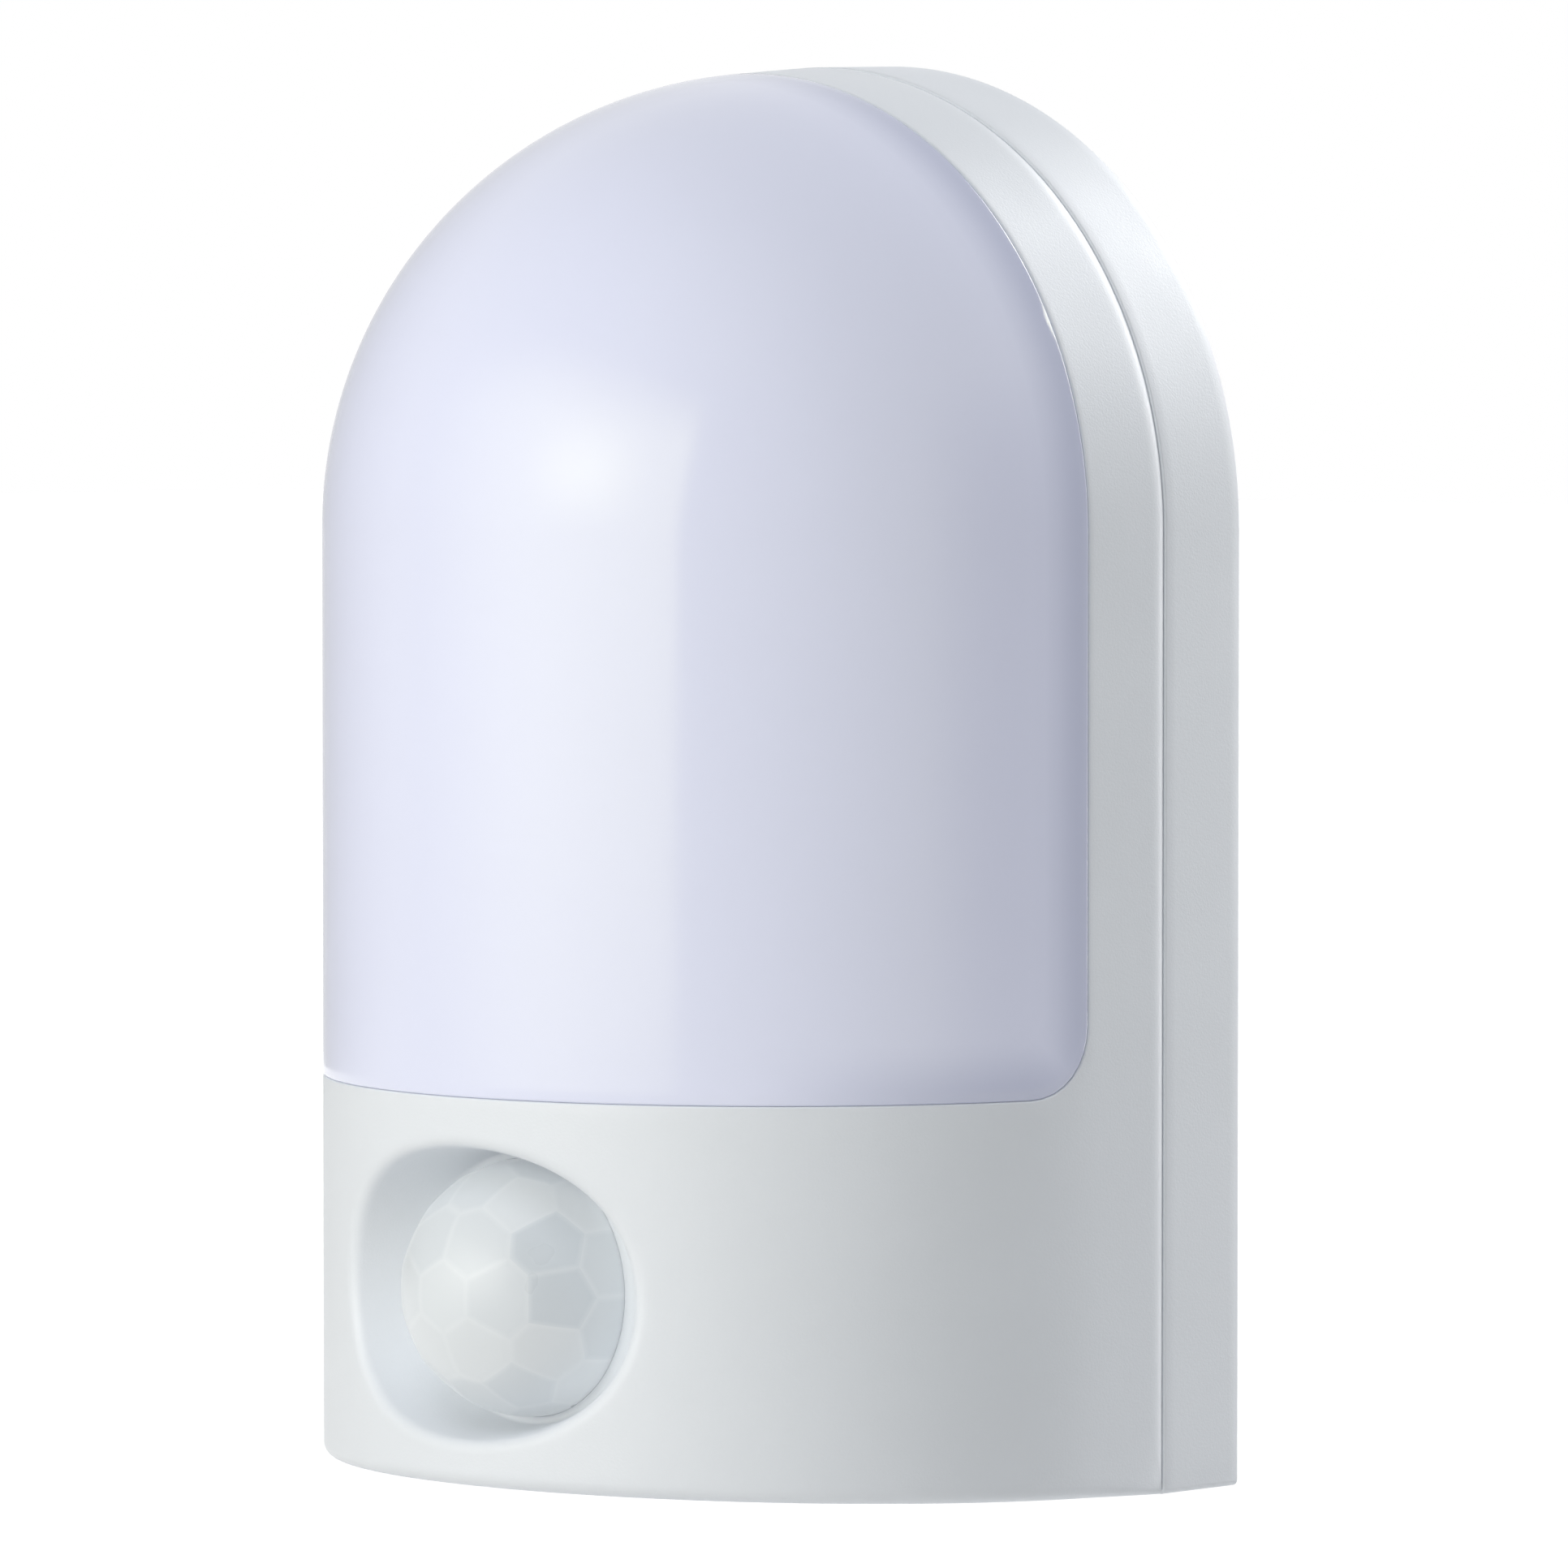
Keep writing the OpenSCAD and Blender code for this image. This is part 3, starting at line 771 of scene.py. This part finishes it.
def make_lens():
    """Domed sensor lens with shallow cells, and a flange behind the recess floor."""
    centres = [lean_to(tilt, turn + 360 * i / count)
               for count, tilt, turn in CELL_RINGS for i in range(count)]
    flat_to = math.cos(math.radians(15.6))
    softness = 0.0035
    steps, line_steps = 12, 2
    skin = Skin()
    tone = skin.mesh.faces.layers.float.new("cell_tone")
    line = skin.mesh.verts.layers.float.new("cell_line")
    tones = random_tones(len(centres))

    def reach(way):
        """Distance to the soft cells, which fade out towards the flange."""
        cosines = [way.dot(p) for p in centres]
        nearest = max(cosines)
        soft = nearest + softness * math.log(sum(math.exp((c - nearest) / softness) for c in cosines))
        facet = min(lens_radius * flat_to / soft, lens_radius)
        lean = math.degrees(math.acos(min(way.z, 1.0)))
        return lens_radius - (lens_radius - facet) * lens_relief * (1 - clamped((lean - 72) / 12))

    for cell, (centre, corners) in enumerate(zip(centres, cell_corners(centres))):
        if cell >= len(centres) - CELL_RINGS[-1][0]:
            break
        # Painted reflection: the chosen cells darkest, the others a fixed random tone
        cell_tone = 0.0 if cell in DARK_REFLECTION_CELLS else 0.4 + 0.6 * tones[cell]
        for p, q in zip(corners, corners[1:] + corners[:1]):
            rows = []
            for s in range(steps + 1):
                row = []
                for t in range(s + 1):
                    edge = p.lerp(q, t / s) if s else p
                    way = centre.lerp(edge, s / steps).normalized()
                    spot = way * reach(way)
                    vert = skin.mesh.verts.new(place(
                        spot.x, lens_height + spot.y, lens_depth + spot.z
                    ))
                    vert[line] = max(0.0, 1 - (steps - s) / line_steps)
                    row.append(vert)
                rows.append(row)
            for low, high in zip(rows, rows[1:]):
                for t in range(len(low)):
                    made = [skin.mesh.faces.new((low[t], high[t], high[t + 1]))]
                    if t:
                        made.append(skin.mesh.faces.new((low[t - 1], high[t], low[t])))
                    for face in made:
                        face[tone] = cell_tone
    skin.weld()
    mesh = skin.mesh
    cut_at = place(0, lens_height, lens_depth)
    bmesh.ops.bisect_plane(
        mesh, geom=mesh.verts[:] + mesh.edges[:] + mesh.faces[:], dist=1e-7,
        plane_co=cut_at, plane_no=(0, -1, 0), clear_inner=True,
    )
    rim = [edge for edge in mesh.edges if edge.is_boundary]
    middle = Vector((0, 0, cut_at.z))
    for radius, depth in (
        (lens_radius, flange_back + flange_thick),
        (flange_radius, flange_back + flange_thick),
        (flange_radius, flange_back),
    ):
        grown = bmesh.ops.extrude_edge_only(mesh, edges=rim)["geom"]
        for vert in (v for v in grown if isinstance(v, bmesh.types.BMVert)):
            way = Vector((vert.co.x, 0, vert.co.z)) - middle
            vert.co = middle + way.normalized() * radius * MM
            vert.co.y = -depth * MM
        rim = [edge for edge in grown if isinstance(edge, bmesh.types.BMEdge)]
    return smooth(thicken(skin.piece("sensor_lens", (0, -1, 0)), lens_wall), 60)


def random_tones(count, seed=11):
    """One fixed tone between 0 and 1 for each lens cell."""
    tones = []
    for _ in range(count):
        seed = (seed * 1103515245 + 12345) % 2**31
        tones.append(seed / 2**31)
    return tones


# ------------------------pieces that repeat


def copies_tree():
    """Node tree that puts a turned copy of a piece on every point of a mesh."""
    tree = bpy.data.node_groups.new("copies_on_places", "GeometryNodeTree")
    sockets = tree.interface
    for name, kind in (
        ("Places", "Geometry"), ("Piece", "Object"), ("Turn", "Float"), ("Seed", "Int")
    ):
        sockets.new_socket(name, in_out="INPUT", socket_type="NodeSocket" + kind)
    sockets.new_socket("Copies", in_out="OUTPUT", socket_type="NodeSocketGeometry")
    given = add_node(tree, "NodeGroupInput").outputs
    turn = add_node(
        tree, "FunctionNodeRandomValue", settings=[("data_type", "FLOAT")], Seed=given["Seed"]
    )
    most = [s for s in turn.inputs if s.type == "VALUE"][1]
    tree.links.new(given["Turn"], most)
    angle = next(s for s in turn.outputs if s.type == "VALUE")
    spin = add_node(tree, "ShaderNodeCombineXYZ", Y=angle)
    piece = add_node(tree, "GeometryNodeObjectInfo", Object=given["Piece"])
    spread = add_node(
        tree, "GeometryNodeInstanceOnPoints",
        Points=given["Places"], Instance=piece.outputs["Geometry"],
    )
    turned = add_node(
        tree, "GeometryNodeRotateInstances",
        Instances=spread.outputs["Instances"], Rotation=spin.outputs[0],
    )
    plain = add_node(tree, "GeometryNodeRealizeInstances", Geometry=turned.outputs["Instances"])
    add_node(tree, "NodeGroupOutput", Copies=plain.outputs["Geometry"])
    return tree


copying = copies_tree()


def copies(name, piece, spots, turn=0.0, seed=3):
    """Copies of a piece on points of the face frame, each turned by up to `turn` about depth."""
    data = bpy.data.meshes.new(name)
    data.from_pydata([place(*spot) for spot in spots], [], [])
    made = linked(name, data)
    spreading = made.modifiers.new("copies", "NODES")
    spreading.node_group = copying
    values = {"Piece": piece, "Turn": turn, "Seed": seed}
    for socket in copying.interface.items_tree:
        if socket.name in values:
            spreading[socket.identifier] = values[socket.name]
    settle(made)
    bpy.data.objects.remove(piece)
    return made


def make_screw(name, shank, length, head, head_height, pitch):
    """Cross-head screw with its seat at the origin, its head to the room side."""
    root, tip, collar = shank * 0.82, 1.2 * shank, 0.4
    crest_steps, steps = 8, 36
    skin = Skin(local)
    rows = [circle(0, head_height, steps)]
    for fall, reach in quarter(8):
        radius = head * (0.25 + 0.75 * math.sqrt(1 - fall**2))
        rows.append(circle(radius, head_height * (1 - reach * 0.85), steps))
    rows += [circle(head, 0, steps), circle(shank, 0, steps), circle(shank, -collar, steps)]
    count = int((length - collar) / pitch * crest_steps)
    for i in range(1, count + 1):
        depth = -collar - (length - collar) * i / count
        narrow = min((depth + length) / tip, 1.0)
        row = []
        for j in range(steps):
            turn = 2 * math.pi * j / steps
            phase = (depth / pitch + j / steps) % 1.0
            rise = max(0.0, 1 - 3 * abs(phase - 0.5)) * min((-collar - depth) / pitch + 0.1, 1.0)
            radius = (root + (shank - root) * rise) * (0.35 + 0.65 * narrow)
            row.append((radius * math.cos(turn), radius * math.sin(turn), depth))
        rows.append(row)
    rows.append(circle(0, -length, steps))
    skin.rows(rows, wrap=True)
    screw = skin.piece(name)
    arm, half, low = 0.62 * head, 0.11 * head, 0.45 * head_height
    cut(
        screw,
        slab("slot_a", (-arm, -half, low), (arm, half, 2 * head_height), 0.05, 1, local),
        slab("slot_b", (-half, -arm, low), (half, arm, 2 * head_height), 0.05, 1, local),
    )
    return smooth(screw, 30)


def from_behind(piece):
    """Turns a piece round, so that what faced the room faces the wall."""
    piece.data.transform(Matrix.Rotation(math.pi, 4, "Z"))
    return piece


def make_case_screws():
    screw = from_behind(make_screw(
        "case_screw", shank=1.45, length=8.0, head=2.75, head_height=2.0, pitch=1.1
    ))
    return copies("case_screw_set", screw, [(x, h, case_seat) for x, h in case_places], 1.4, 5)


def make_small_screws():
    def small():
        return make_screw(
            "small_screw", shank=1.0, length=4.5, head=1.9, head_height=1.3, pitch=0.8
        )

    front = [(x, h, board_front) for x, h in standoff_places]
    front += [(x, h, plate_front) for x, h in ledge_places]
    front += [(x, h, light_board_front) for x, h in light_post_places]
    back = [(x, h, sensor_board_back) for x, h in sensor_post_places]
    return with_parts(
        copies("small_screw_set", small(), front, 1.5, 8),
        copies("sensor_screws", from_behind(small()), back, 1.5, 9),
    )


def make_light_chips():
    """Eight light chips: a low body with a round well of yellow gel in it."""
    chip = slab("light_chip", (-1.75, -1.4, 0), (1.75, 1.4, 0.7), 0.1, 2, local)
    well = [(0, 0.42), (1.0, 0.42), (1.18, 0.72), (1.18, 1.2), (0, 1.2)]
    cut(chip, lathe("gel_well", well, where=local, steps=40))
    gel = lathe("gel", [
        (0, 0.6), (0.5, 0.585), (0.85, 0.53), (1.03, 0.45), (1.0, 0.4), (0, 0.4)
    ], where=local, steps=40)
    smooth(with_parts(chip, gel), 40)
    return copies("light_chips", chip, [
        (x, light_middle + (row - 1.5) * 11, light_board_front) for x in (-8, 8) for row in range(4)
    ])


def make_chip_resistors():
    """Six chip resistors with raised end caps."""
    body = slab("resistor_body", (-0.58, -0.7, 0.02), (0.58, 0.7, 0.46), 0.05, 2, local)
    caps = [
        slab("resistor_cap", (-0.6, low, 0), (0.6, low + 0.42, 0.5), 0.06, 2, local)
        for low in (-1.0, 0.58)
    ]
    smooth(with_parts(body, *caps))
    return copies("resistor_row", body, [
        (-13 + 3 * i, 26.5 + 2.6 * (i % 2), board_front) for i in range(6)
    ])


# Edge radius of the pieces that keep their solid's own shape
EASED = {
    "lens_retainer": 0.2, "sensor_board": 0.08, "pir_sensor": 0.18, "pir_window": 0.03,
    "light_sensor": 0.05, "sensor_leads": 0.05, "reflector_plate": 0.12, "led_board": 0.08,
    "led_leads": 0.05, "power_board": 0.08, "film_capacitor": 0.4, "electrolytic_capacitor": 0.12,
    "bridge_rectifier": 0.06, "fuse_resistor": 0.25, "voltage_regulator": 0.05,
    "control_chip": 0.05, "switch_body": 0.12, "switch_lever": 0.08, "mode_knob": 0.1,
    "plug_base": 0.35, "plug_blade_left": 0.08, "plug_blade_right": 0.08,
}


def eased_copy(node):
    """The node's own solid with its edges rounded."""
    mesh = bmesh.new()
    mesh.from_mesh(frame["nodes"][node].data)
    bmesh.ops.remove_doubles(mesh, verts=mesh.verts, dist=1e-6)
    bmesh.ops.dissolve_limit(
        mesh, angle_limit=math.radians(0.5), verts=mesh.verts, edges=mesh.edges
    )
    return smooth(ease(from_bmesh("eased_" + node, mesh), EASED[node], 35, 3), 32)


# ------------------------finishes


def plain_material(name, color, rough=0.9):
    """A material with one colour and roughness, and its shader."""
    made = bpy.data.materials.new(name)
    made.use_nodes = True
    shader = made.node_tree.nodes["Principled BSDF"]
    shader.inputs["Base Color"].default_value = (*color, 1)
    shader.inputs["Roughness"].default_value = rough
    return made, shader


class Finish:
    """A surface finish: a principled shader with patterns on object coordinates."""

    def __init__(self, name, color, rough, **sockets):
        self.material, self.shader = plain_material(name, color, rough)
        self.tree = self.material.node_tree
        for socket, value in sockets.items():
            self.shader.inputs[socket.replace("_", " ")].default_value = value
        self.coordinates = self.node("TexCoord").outputs["Object"]

    def node(self, kind, *values, **named):
        return add_node(self.tree, "ShaderNode" + kind, *values, **named)

    def noise(self, size, detail=2.0, rough=0.5):
        """Noise whose features are about `size` millimetres."""
        return self.node(
            "TexNoise", self.coordinates, Scale=1 / (size * MM), Detail=detail, Roughness=rough
        ).outputs["Fac"]

    def own(self, name):
        """A value stored on the mesh."""
        return self.node("Attribute", settings=[("attribute_name", name)]).outputs["Fac"]

    def between(self, value, low, high, from_low=0.3, from_high=0.7):
        """Maps a pattern to a range."""
        return self.node("MapRange", value, from_low, from_high, low, high).outputs["Result"]

    def blend(self, share, low, high):
        """Colour between two colours, each of which may come from another blend."""
        made = self.node("Mix", share, settings=[("data_type", "RGBA")])
        for socket, color in ((made.inputs[6], low), (made.inputs[7], high)):
            linked_color = isinstance(color, bpy.types.NodeSocket)
            feed(self.tree, color if linked_color else (*color, 1), socket)
        return made.outputs[2]

    def coloured(self, color):
        self.tree.links.new(color, self.shader.inputs["Base Color"])
        return self

    def tint(self, value, low, high):
        """Colour that goes from one to the other with a pattern."""
        return self.coloured(self.blend(self.between(value, 0, 1), low, high))

    def gloss(self, value, low, high):
        """Roughness that goes from one to the other with a pattern."""
        self.tree.links.new(self.between(value, low, high), self.shader.inputs["Roughness"])
        return self

    def relief(self, value, height):
        """Bump of a height in millimetres."""
        made = self.node("Bump", Height=value, Distance=height * MM, Strength=1.0)
        self.tree.links.new(made.outputs["Normal"], self.shader.inputs["Normal"])
        return self


def shade(color, share):
    return tuple(c * share for c in color)


def moulded(name, color, rough, speckle=0.16, depth=0.012, **sockets):
    """Satin moulded plastic: a fine speckle from the mould and a slight change in gloss."""
    made = Finish(name, color, rough, **sockets)
    made.tint(made.noise(14, 3), shade(color, 0.975), color)
    made.gloss(made.noise(9, 4), rough - 0.05, rough + 0.06)
    made.relief(made.noise(speckle, 2, 0.6), depth)
    return made.material


def milky_finish():
    """Glossy milky plastic, with a faint glow as painted light and a strip of painted shade at its
    edge.
    """
    color = (0.69, 0.715, 0.9)
    # The emission is painted light: a faint glow standing in for light that passes through the panel
    made = Finish(
        "milky_gloss_plastic", color, 0.1, IOR=1.49, Specular_Tint=(1.0, 1.0, 0.6, 1),
        Emission_Color=(0.98, 0.99, 1.0, 1), Emission_Strength=0.11,
    )
    clouded = made.blend(made.between(made.noise(22), 0, 1), shade(color, 0.985), color)
    # Painted shade: darker and bluer towards the panel's side edge, arch and lower corners
    made.coloured(made.blend(made.own("painted_edge_shade"), clouded, (0.4, 0.43, 0.62)))
    made.gloss(made.noise(12, 4), 0.09, 0.13)
    made.relief(made.noise(6), 0.003)
    return made.material


def lens_finish():
    """Milky lens film, each cell with its own tone, a painted reflection of what its facet mirrors,
    and a fine line where cells meet.
    """
    color = (0.65, 0.68, 0.7)
    # The emission is painted light: a faint glow standing in for light that passes through the film
    made = Finish(
        "lens_film_plastic", color, 0.3, IOR=1.5,
        Emission_Color=(0.97, 0.985, 1.0, 1), Emission_Strength=0.14,
    )
    # Painted reflection: each cell's colour between its dark and full tone
    cells = made.blend(made.own("cell_tone"), (0.53, 0.575, 0.61), color)
    made.coloured(made.blend(
        made.between(made.own("cell_line"), 0.0, 0.45, 0, 1), cells, (0.69, 0.72, 0.74)
    ))
    made.gloss(made.noise(7, 3), 0.27, 0.32)
    made.relief(made.noise(0.25), 0.003)
    return made.material


def metal(name, color, rough):
    """Plated metal with cloudy colour and fine changes in gloss."""
    made = Finish(name, color, rough, Metallic=1.0)
    made.tint(made.noise(2.5, 4), shade(color, 0.86), color)
    made.gloss(made.noise(0.4, 4, 0.7), rough - 0.08, rough + 0.12)
    made.relief(made.noise(0.12, 3, 0.7), 0.006)
    return made.material


def board(name, color, track):
    """Circuit board mask with paler tracks under it."""
    made = Finish(name, color, 0.35)
    lines = made.node(
        "TexBrick", made.coordinates, (*color, 1), (*shade(color, 0.9), 1), (*track, 1),
        Scale=1 / (9 * MM), Mortar_Size=0.05,
    )
    made.coloured(lines.outputs["Color"])
    made.gloss(made.noise(3, 3), 0.28, 0.42)
    made.relief(made.noise(0.4, 2), 0.01)
    return made.material


housing_white = (0.825, 0.855, 0.895)
finishes = {
    "housing_plastic": moulded("satin_housing_plastic", housing_white, 0.42),
    "milky_panel": milky_finish(),
    "cover_plastic": moulded("satin_cover_plastic", shade(housing_white, 0.99), 0.45),
    "lens_plastic": lens_finish(),
    "white_plastic": moulded("plain_white_plastic", (0.8, 0.8, 0.78), 0.5),
    "circuit_board": board("green_board_mask", (0.02, 0.16, 0.05), (0.04, 0.26, 0.09)),
    "white_board": board("white_board_mask", (0.8, 0.8, 0.77), (0.72, 0.73, 0.7)),
    "plated_steel": metal("tinned_steel", (0.62, 0.63, 0.64), 0.3),
    "screw_steel": metal("zinc_screw_steel", (0.55, 0.56, 0.58), 0.34),
    "blade_brass": metal("nickel_plated_brass", (0.66, 0.63, 0.55), 0.26),
    "dark_window": moulded("dark_filter_window", (0.03, 0.022, 0.03), 0.15, depth=0.002),
    "lead_sleeve": moulded("red_lead_sleeve", (0.45, 0.02, 0.015), 0.5),
    "led_yellow": moulded("light_chip_gel", (0.85, 0.72, 0.2), 0.3, speckle=0.3),
    "capacitor_yellow": moulded("yellow_capacitor_case", (0.68, 0.38, 0.02), 0.3),
    "capacitor_sleeve": moulded("blue_shrink_sleeve", (0.01, 0.015, 0.07), 0.28),
    "chip_black": moulded("black_chip_compound", (0.018, 0.018, 0.018), 0.55),
    "resistor_tan": moulded("tan_resistor_lacquer", (0.5, 0.33, 0.16), 0.35),
    "knob_plastic": moulded("satin_knob_plastic", (0.7, 0.73, 0.745), 0.4),
    "plug_plastic": moulded("satin_plug_plastic", (0.74, 0.755, 0.765), 0.42),
}
slot_of = {row["node"]: row["material_slot"] for row in frame["record"]["subparts"]}


def dress(thing, node):
    """Gives a piece its node's finish and lets it stand for that node."""
    slot = slot_of[node]
    thing.data.materials.clear()
    thing.data.materials.append(finishes[slot])
    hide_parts(node)
    moving = node in frame["record"]["behaviour"]["bodies"]["mode_switch"]
    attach(thing, "mode_switch" if moving else "case")
    return thing


for name, thing in frame["nodes"].items():
    thing.data.materials.clear()
    thing.data.materials.append(finishes[slot_of[name]])

for node, make in (
    ("diffuser", make_panel),
    ("front_housing", make_housing),
    ("rear_cover", make_cover),
    ("pir_lens", make_lens),
    ("case_screws", make_case_screws),
    ("small_screws", make_small_screws),
    ("leds", make_light_chips),
    ("chip_resistors", make_chip_resistors),
):
    dress(make(), node)
for node in EASED:
    dress(eased_copy(node), node)

# ------------------------stage

FRAME_PIXELS = 1932
focal_pixels = 12186
view_azimuth = math.radians(42.303)
look_down = math.radians(2.546)
view_distance = 0.64997
view_right = -0.00686
view_height = 0.0729

camera_data = bpy.data.cameras.new("camera")
camera_data.sensor_width = 36
camera_data.lens = focal_pixels / FRAME_PIXELS * camera_data.sensor_width
camera_data.clip_start = 0.01
camera = linked("camera", camera_data)
ahead = Vector((-math.sin(view_azimuth), math.cos(view_azimuth), 0))
beside = Vector((math.cos(view_azimuth), math.sin(view_azimuth), 0))
camera.location = beside * view_right - ahead * view_distance
camera.location.z = underside + view_height
look = ahead * math.cos(look_down) - Vector((0, 0, math.sin(look_down)))
camera.rotation_euler = look.to_track_quat("-Z", "Y").to_euler()
bpy.context.scene.camera = camera


def lamp(name, azimuth, elevation, distance, size, radiance, color=(1, 1, 1), unseen=()):
    """Softbox on a sphere round the object, facing it. Azimuth 0 is in front, 90 to the right.
    `unseen` names the kinds of ray, next to the camera's, that pass it by."""
    data = bpy.data.lights.new(name, "AREA")
    data.shape = "RECTANGLE"
    data.size, data.size_y = size
    data.energy = radiance * math.pi * size[0] * size[1]
    data.color = color
    made = linked(name, data)
    a, e = math.radians(azimuth), math.radians(elevation)
    way = Vector((math.sin(a) * math.cos(e), -math.cos(a) * math.cos(e), math.sin(e)))
    made.location = way * distance
    made.rotation_euler = (-way).to_track_quat("-Z", "Y").to_euler()
    for kind in ("camera", *unseen):
        setattr(made, "visible_" + kind, False)
    return made


def softened(light, core, core_strength):
    """Fades a softbox out to its left and at its edges, and gives it a brighter core."""
    light.data.use_nodes = True
    tree = light.data.node_tree

    def figure(kind, operation, *values):
        return add_node(tree, "ShaderNode" + kind, *values, settings=[("operation", operation)])

    def ramp(value, start, end, low, high):
        return add_node(
            tree, "ShaderNodeMapRange", value, start, end, low, high,
            settings=[("interpolation_type", "SMOOTHSTEP")],
        ).outputs[0]

    spot = add_node(tree, "ShaderNodeNewGeometry").outputs["Parametric"]
    across, up = add_node(tree, "ShaderNodeSeparateXYZ", spot).outputs[:2]
    level = ramp(across, 0.0, 0.55, 0.1, 1.0)
    for fade in (
        ramp(across, 0.93, 1.0, 1.0, 0.0), ramp(up, 0.0, 0.35, 0.0, 1.0),
        ramp(up, 0.65, 1.0, 1.0, 0.0),
    ):
        level = figure("Math", "MULTIPLY", level, fade).outputs[0]
    away = figure("VectorMath", "SUBTRACT", spot, core).outputs[0]
    length = figure("VectorMath", "LENGTH", away).outputs["Value"]
    glow = ramp(length, 0.0, 0.24, core_strength, 0.0)
    level = figure("Math", "ADD", level, glow).outputs[0]
    tree.links.new(level, tree.nodes["Emission"].inputs["Strength"])


key = lamp("left_softbox", -17, 13, 1.0, (1.546, 1.155), 2.5, (1.0, 0.98, 0.9))
softened(key, (0.618, 0.52, 0.0), 0.8)
lamp("front_softbox", 12, 58, 1.2, (0.8, 0.8), 2.3, (0.88, 0.92, 1.0), unseen=["glossy"])
lamp("rear_softbox", 160, 30, 0.45, (0.26, 0.16), 8.8)
lamp("rear_fill", 154, 12, 0.6, (0.3, 0.3), 2.6, unseen=["glossy"])
lamp("arch_glint", 174, 40, 0.45, (0.15, 0.1), 12.5, unseen=["diffuse"])
lamp("side_glint", 156, 2, 0.5, (0.12, 0.3), 7, unseen=["diffuse"])


def stage_piece(name, mesh, material):
    made = from_bmesh(name, mesh)
    made.data.materials.append(material)
    return made


def dark_card(name, azimuth, width, opacity):
    """Upright dark gauze, soft at its edges, which only glossy sides mirror."""
    away, tall = 1.1, 1.6
    way = Vector((math.sin(math.radians(azimuth)), -math.cos(math.radians(azimuth)), 0))
    mesh = bmesh.new()
    bmesh.ops.create_grid(mesh, x_segments=16, y_segments=16, size=0.5)
    cover = mesh.verts.layers.float.new("cover")
    for vert in mesh.verts:
        vert[cover] = opacity * math.cos(math.pi * vert.co.x) * math.cos(math.pi * vert.co.y)
    mesh.transform(
        Matrix.Translation(way * away) @ way.to_track_quat("Z", "Y").to_matrix().to_4x4()
        @ Matrix.Diagonal((width, tall, 1.0, 1.0))
    )
    material, shader = plain_material(name + "_gauze", (0.03, 0.03, 0.032))
    tree = material.node_tree
    share = add_node(tree, "ShaderNodeAttribute", settings=[("attribute_name", "cover")])
    tree.links.new(share.outputs["Fac"], shader.inputs["Alpha"])
    card = stage_piece(name, mesh, material)
    card.visible_camera = card.visible_diffuse = card.visible_shadow = False


dark_card("right_card", 104, 1.0, 0.95)
dark_card("left_card", -105, 1.6, 0.62)


def background_rays(tree):
    """1 for rays that see the background straight, in a mirror or through glass, 0 for the rest."""
    path = add_node(tree, "ShaderNodeLightPath")
    seen = path.outputs["Is Camera Ray"]
    for kind in ("Is Glossy Ray", "Is Transmission Ray"):
        seen = add_node(
            tree, "ShaderNodeMath", seen, path.outputs[kind], settings=[("operation", "MAXIMUM")]
        ).outputs[0]
    return seen


floor_drop = 0.06
floor_mesh = bmesh.new()
bmesh.ops.create_grid(floor_mesh, x_segments=1, y_segments=1, size=6)
floor_mesh.transform(Matrix.Translation((0, 0, underside - floor_drop)))
floor_material, floor_shader = plain_material("pale_floor", (0.85, 0.85, 0.85))
floor_tree = floor_material.node_tree
floor_shader.inputs["Emission Color"].default_value = (1, 1, 1, 1)
floor_seen = background_rays(floor_tree)
for socket, plain, seen_level in (("Emission Strength", 0.0, 0.96), ("Base Color", 0.85, 0.25)):
    level = add_node(floor_tree, "ShaderNodeMapRange", floor_seen, To_Min=plain, To_Max=seen_level)
    floor_tree.links.new(level.outputs["Result"], floor_shader.inputs[socket])
stage_piece("floor", floor_mesh, floor_material)

world = bpy.data.worlds.new("studio")
bpy.context.scene.world = world
world.use_nodes = True
world_tree = world.node_tree
around_light = world_tree.nodes["Background"]
around_light.inputs["Color"].default_value = (0.93, 0.975, 1.0, 1)
around_light.inputs["Strength"].default_value = 0.08
white = add_node(world_tree, "ShaderNodeBackground", (1, 1, 1, 1), 1)
world_blend = add_node(
    world_tree, "ShaderNodeMixShader",
    background_rays(world_tree), around_light.outputs[0], white.outputs[0],
)
world_tree.links.new(world_blend.outputs[0], world_tree.nodes["World Output"].inputs["Surface"])

bpy.context.scene.view_settings.view_transform = "Standard"
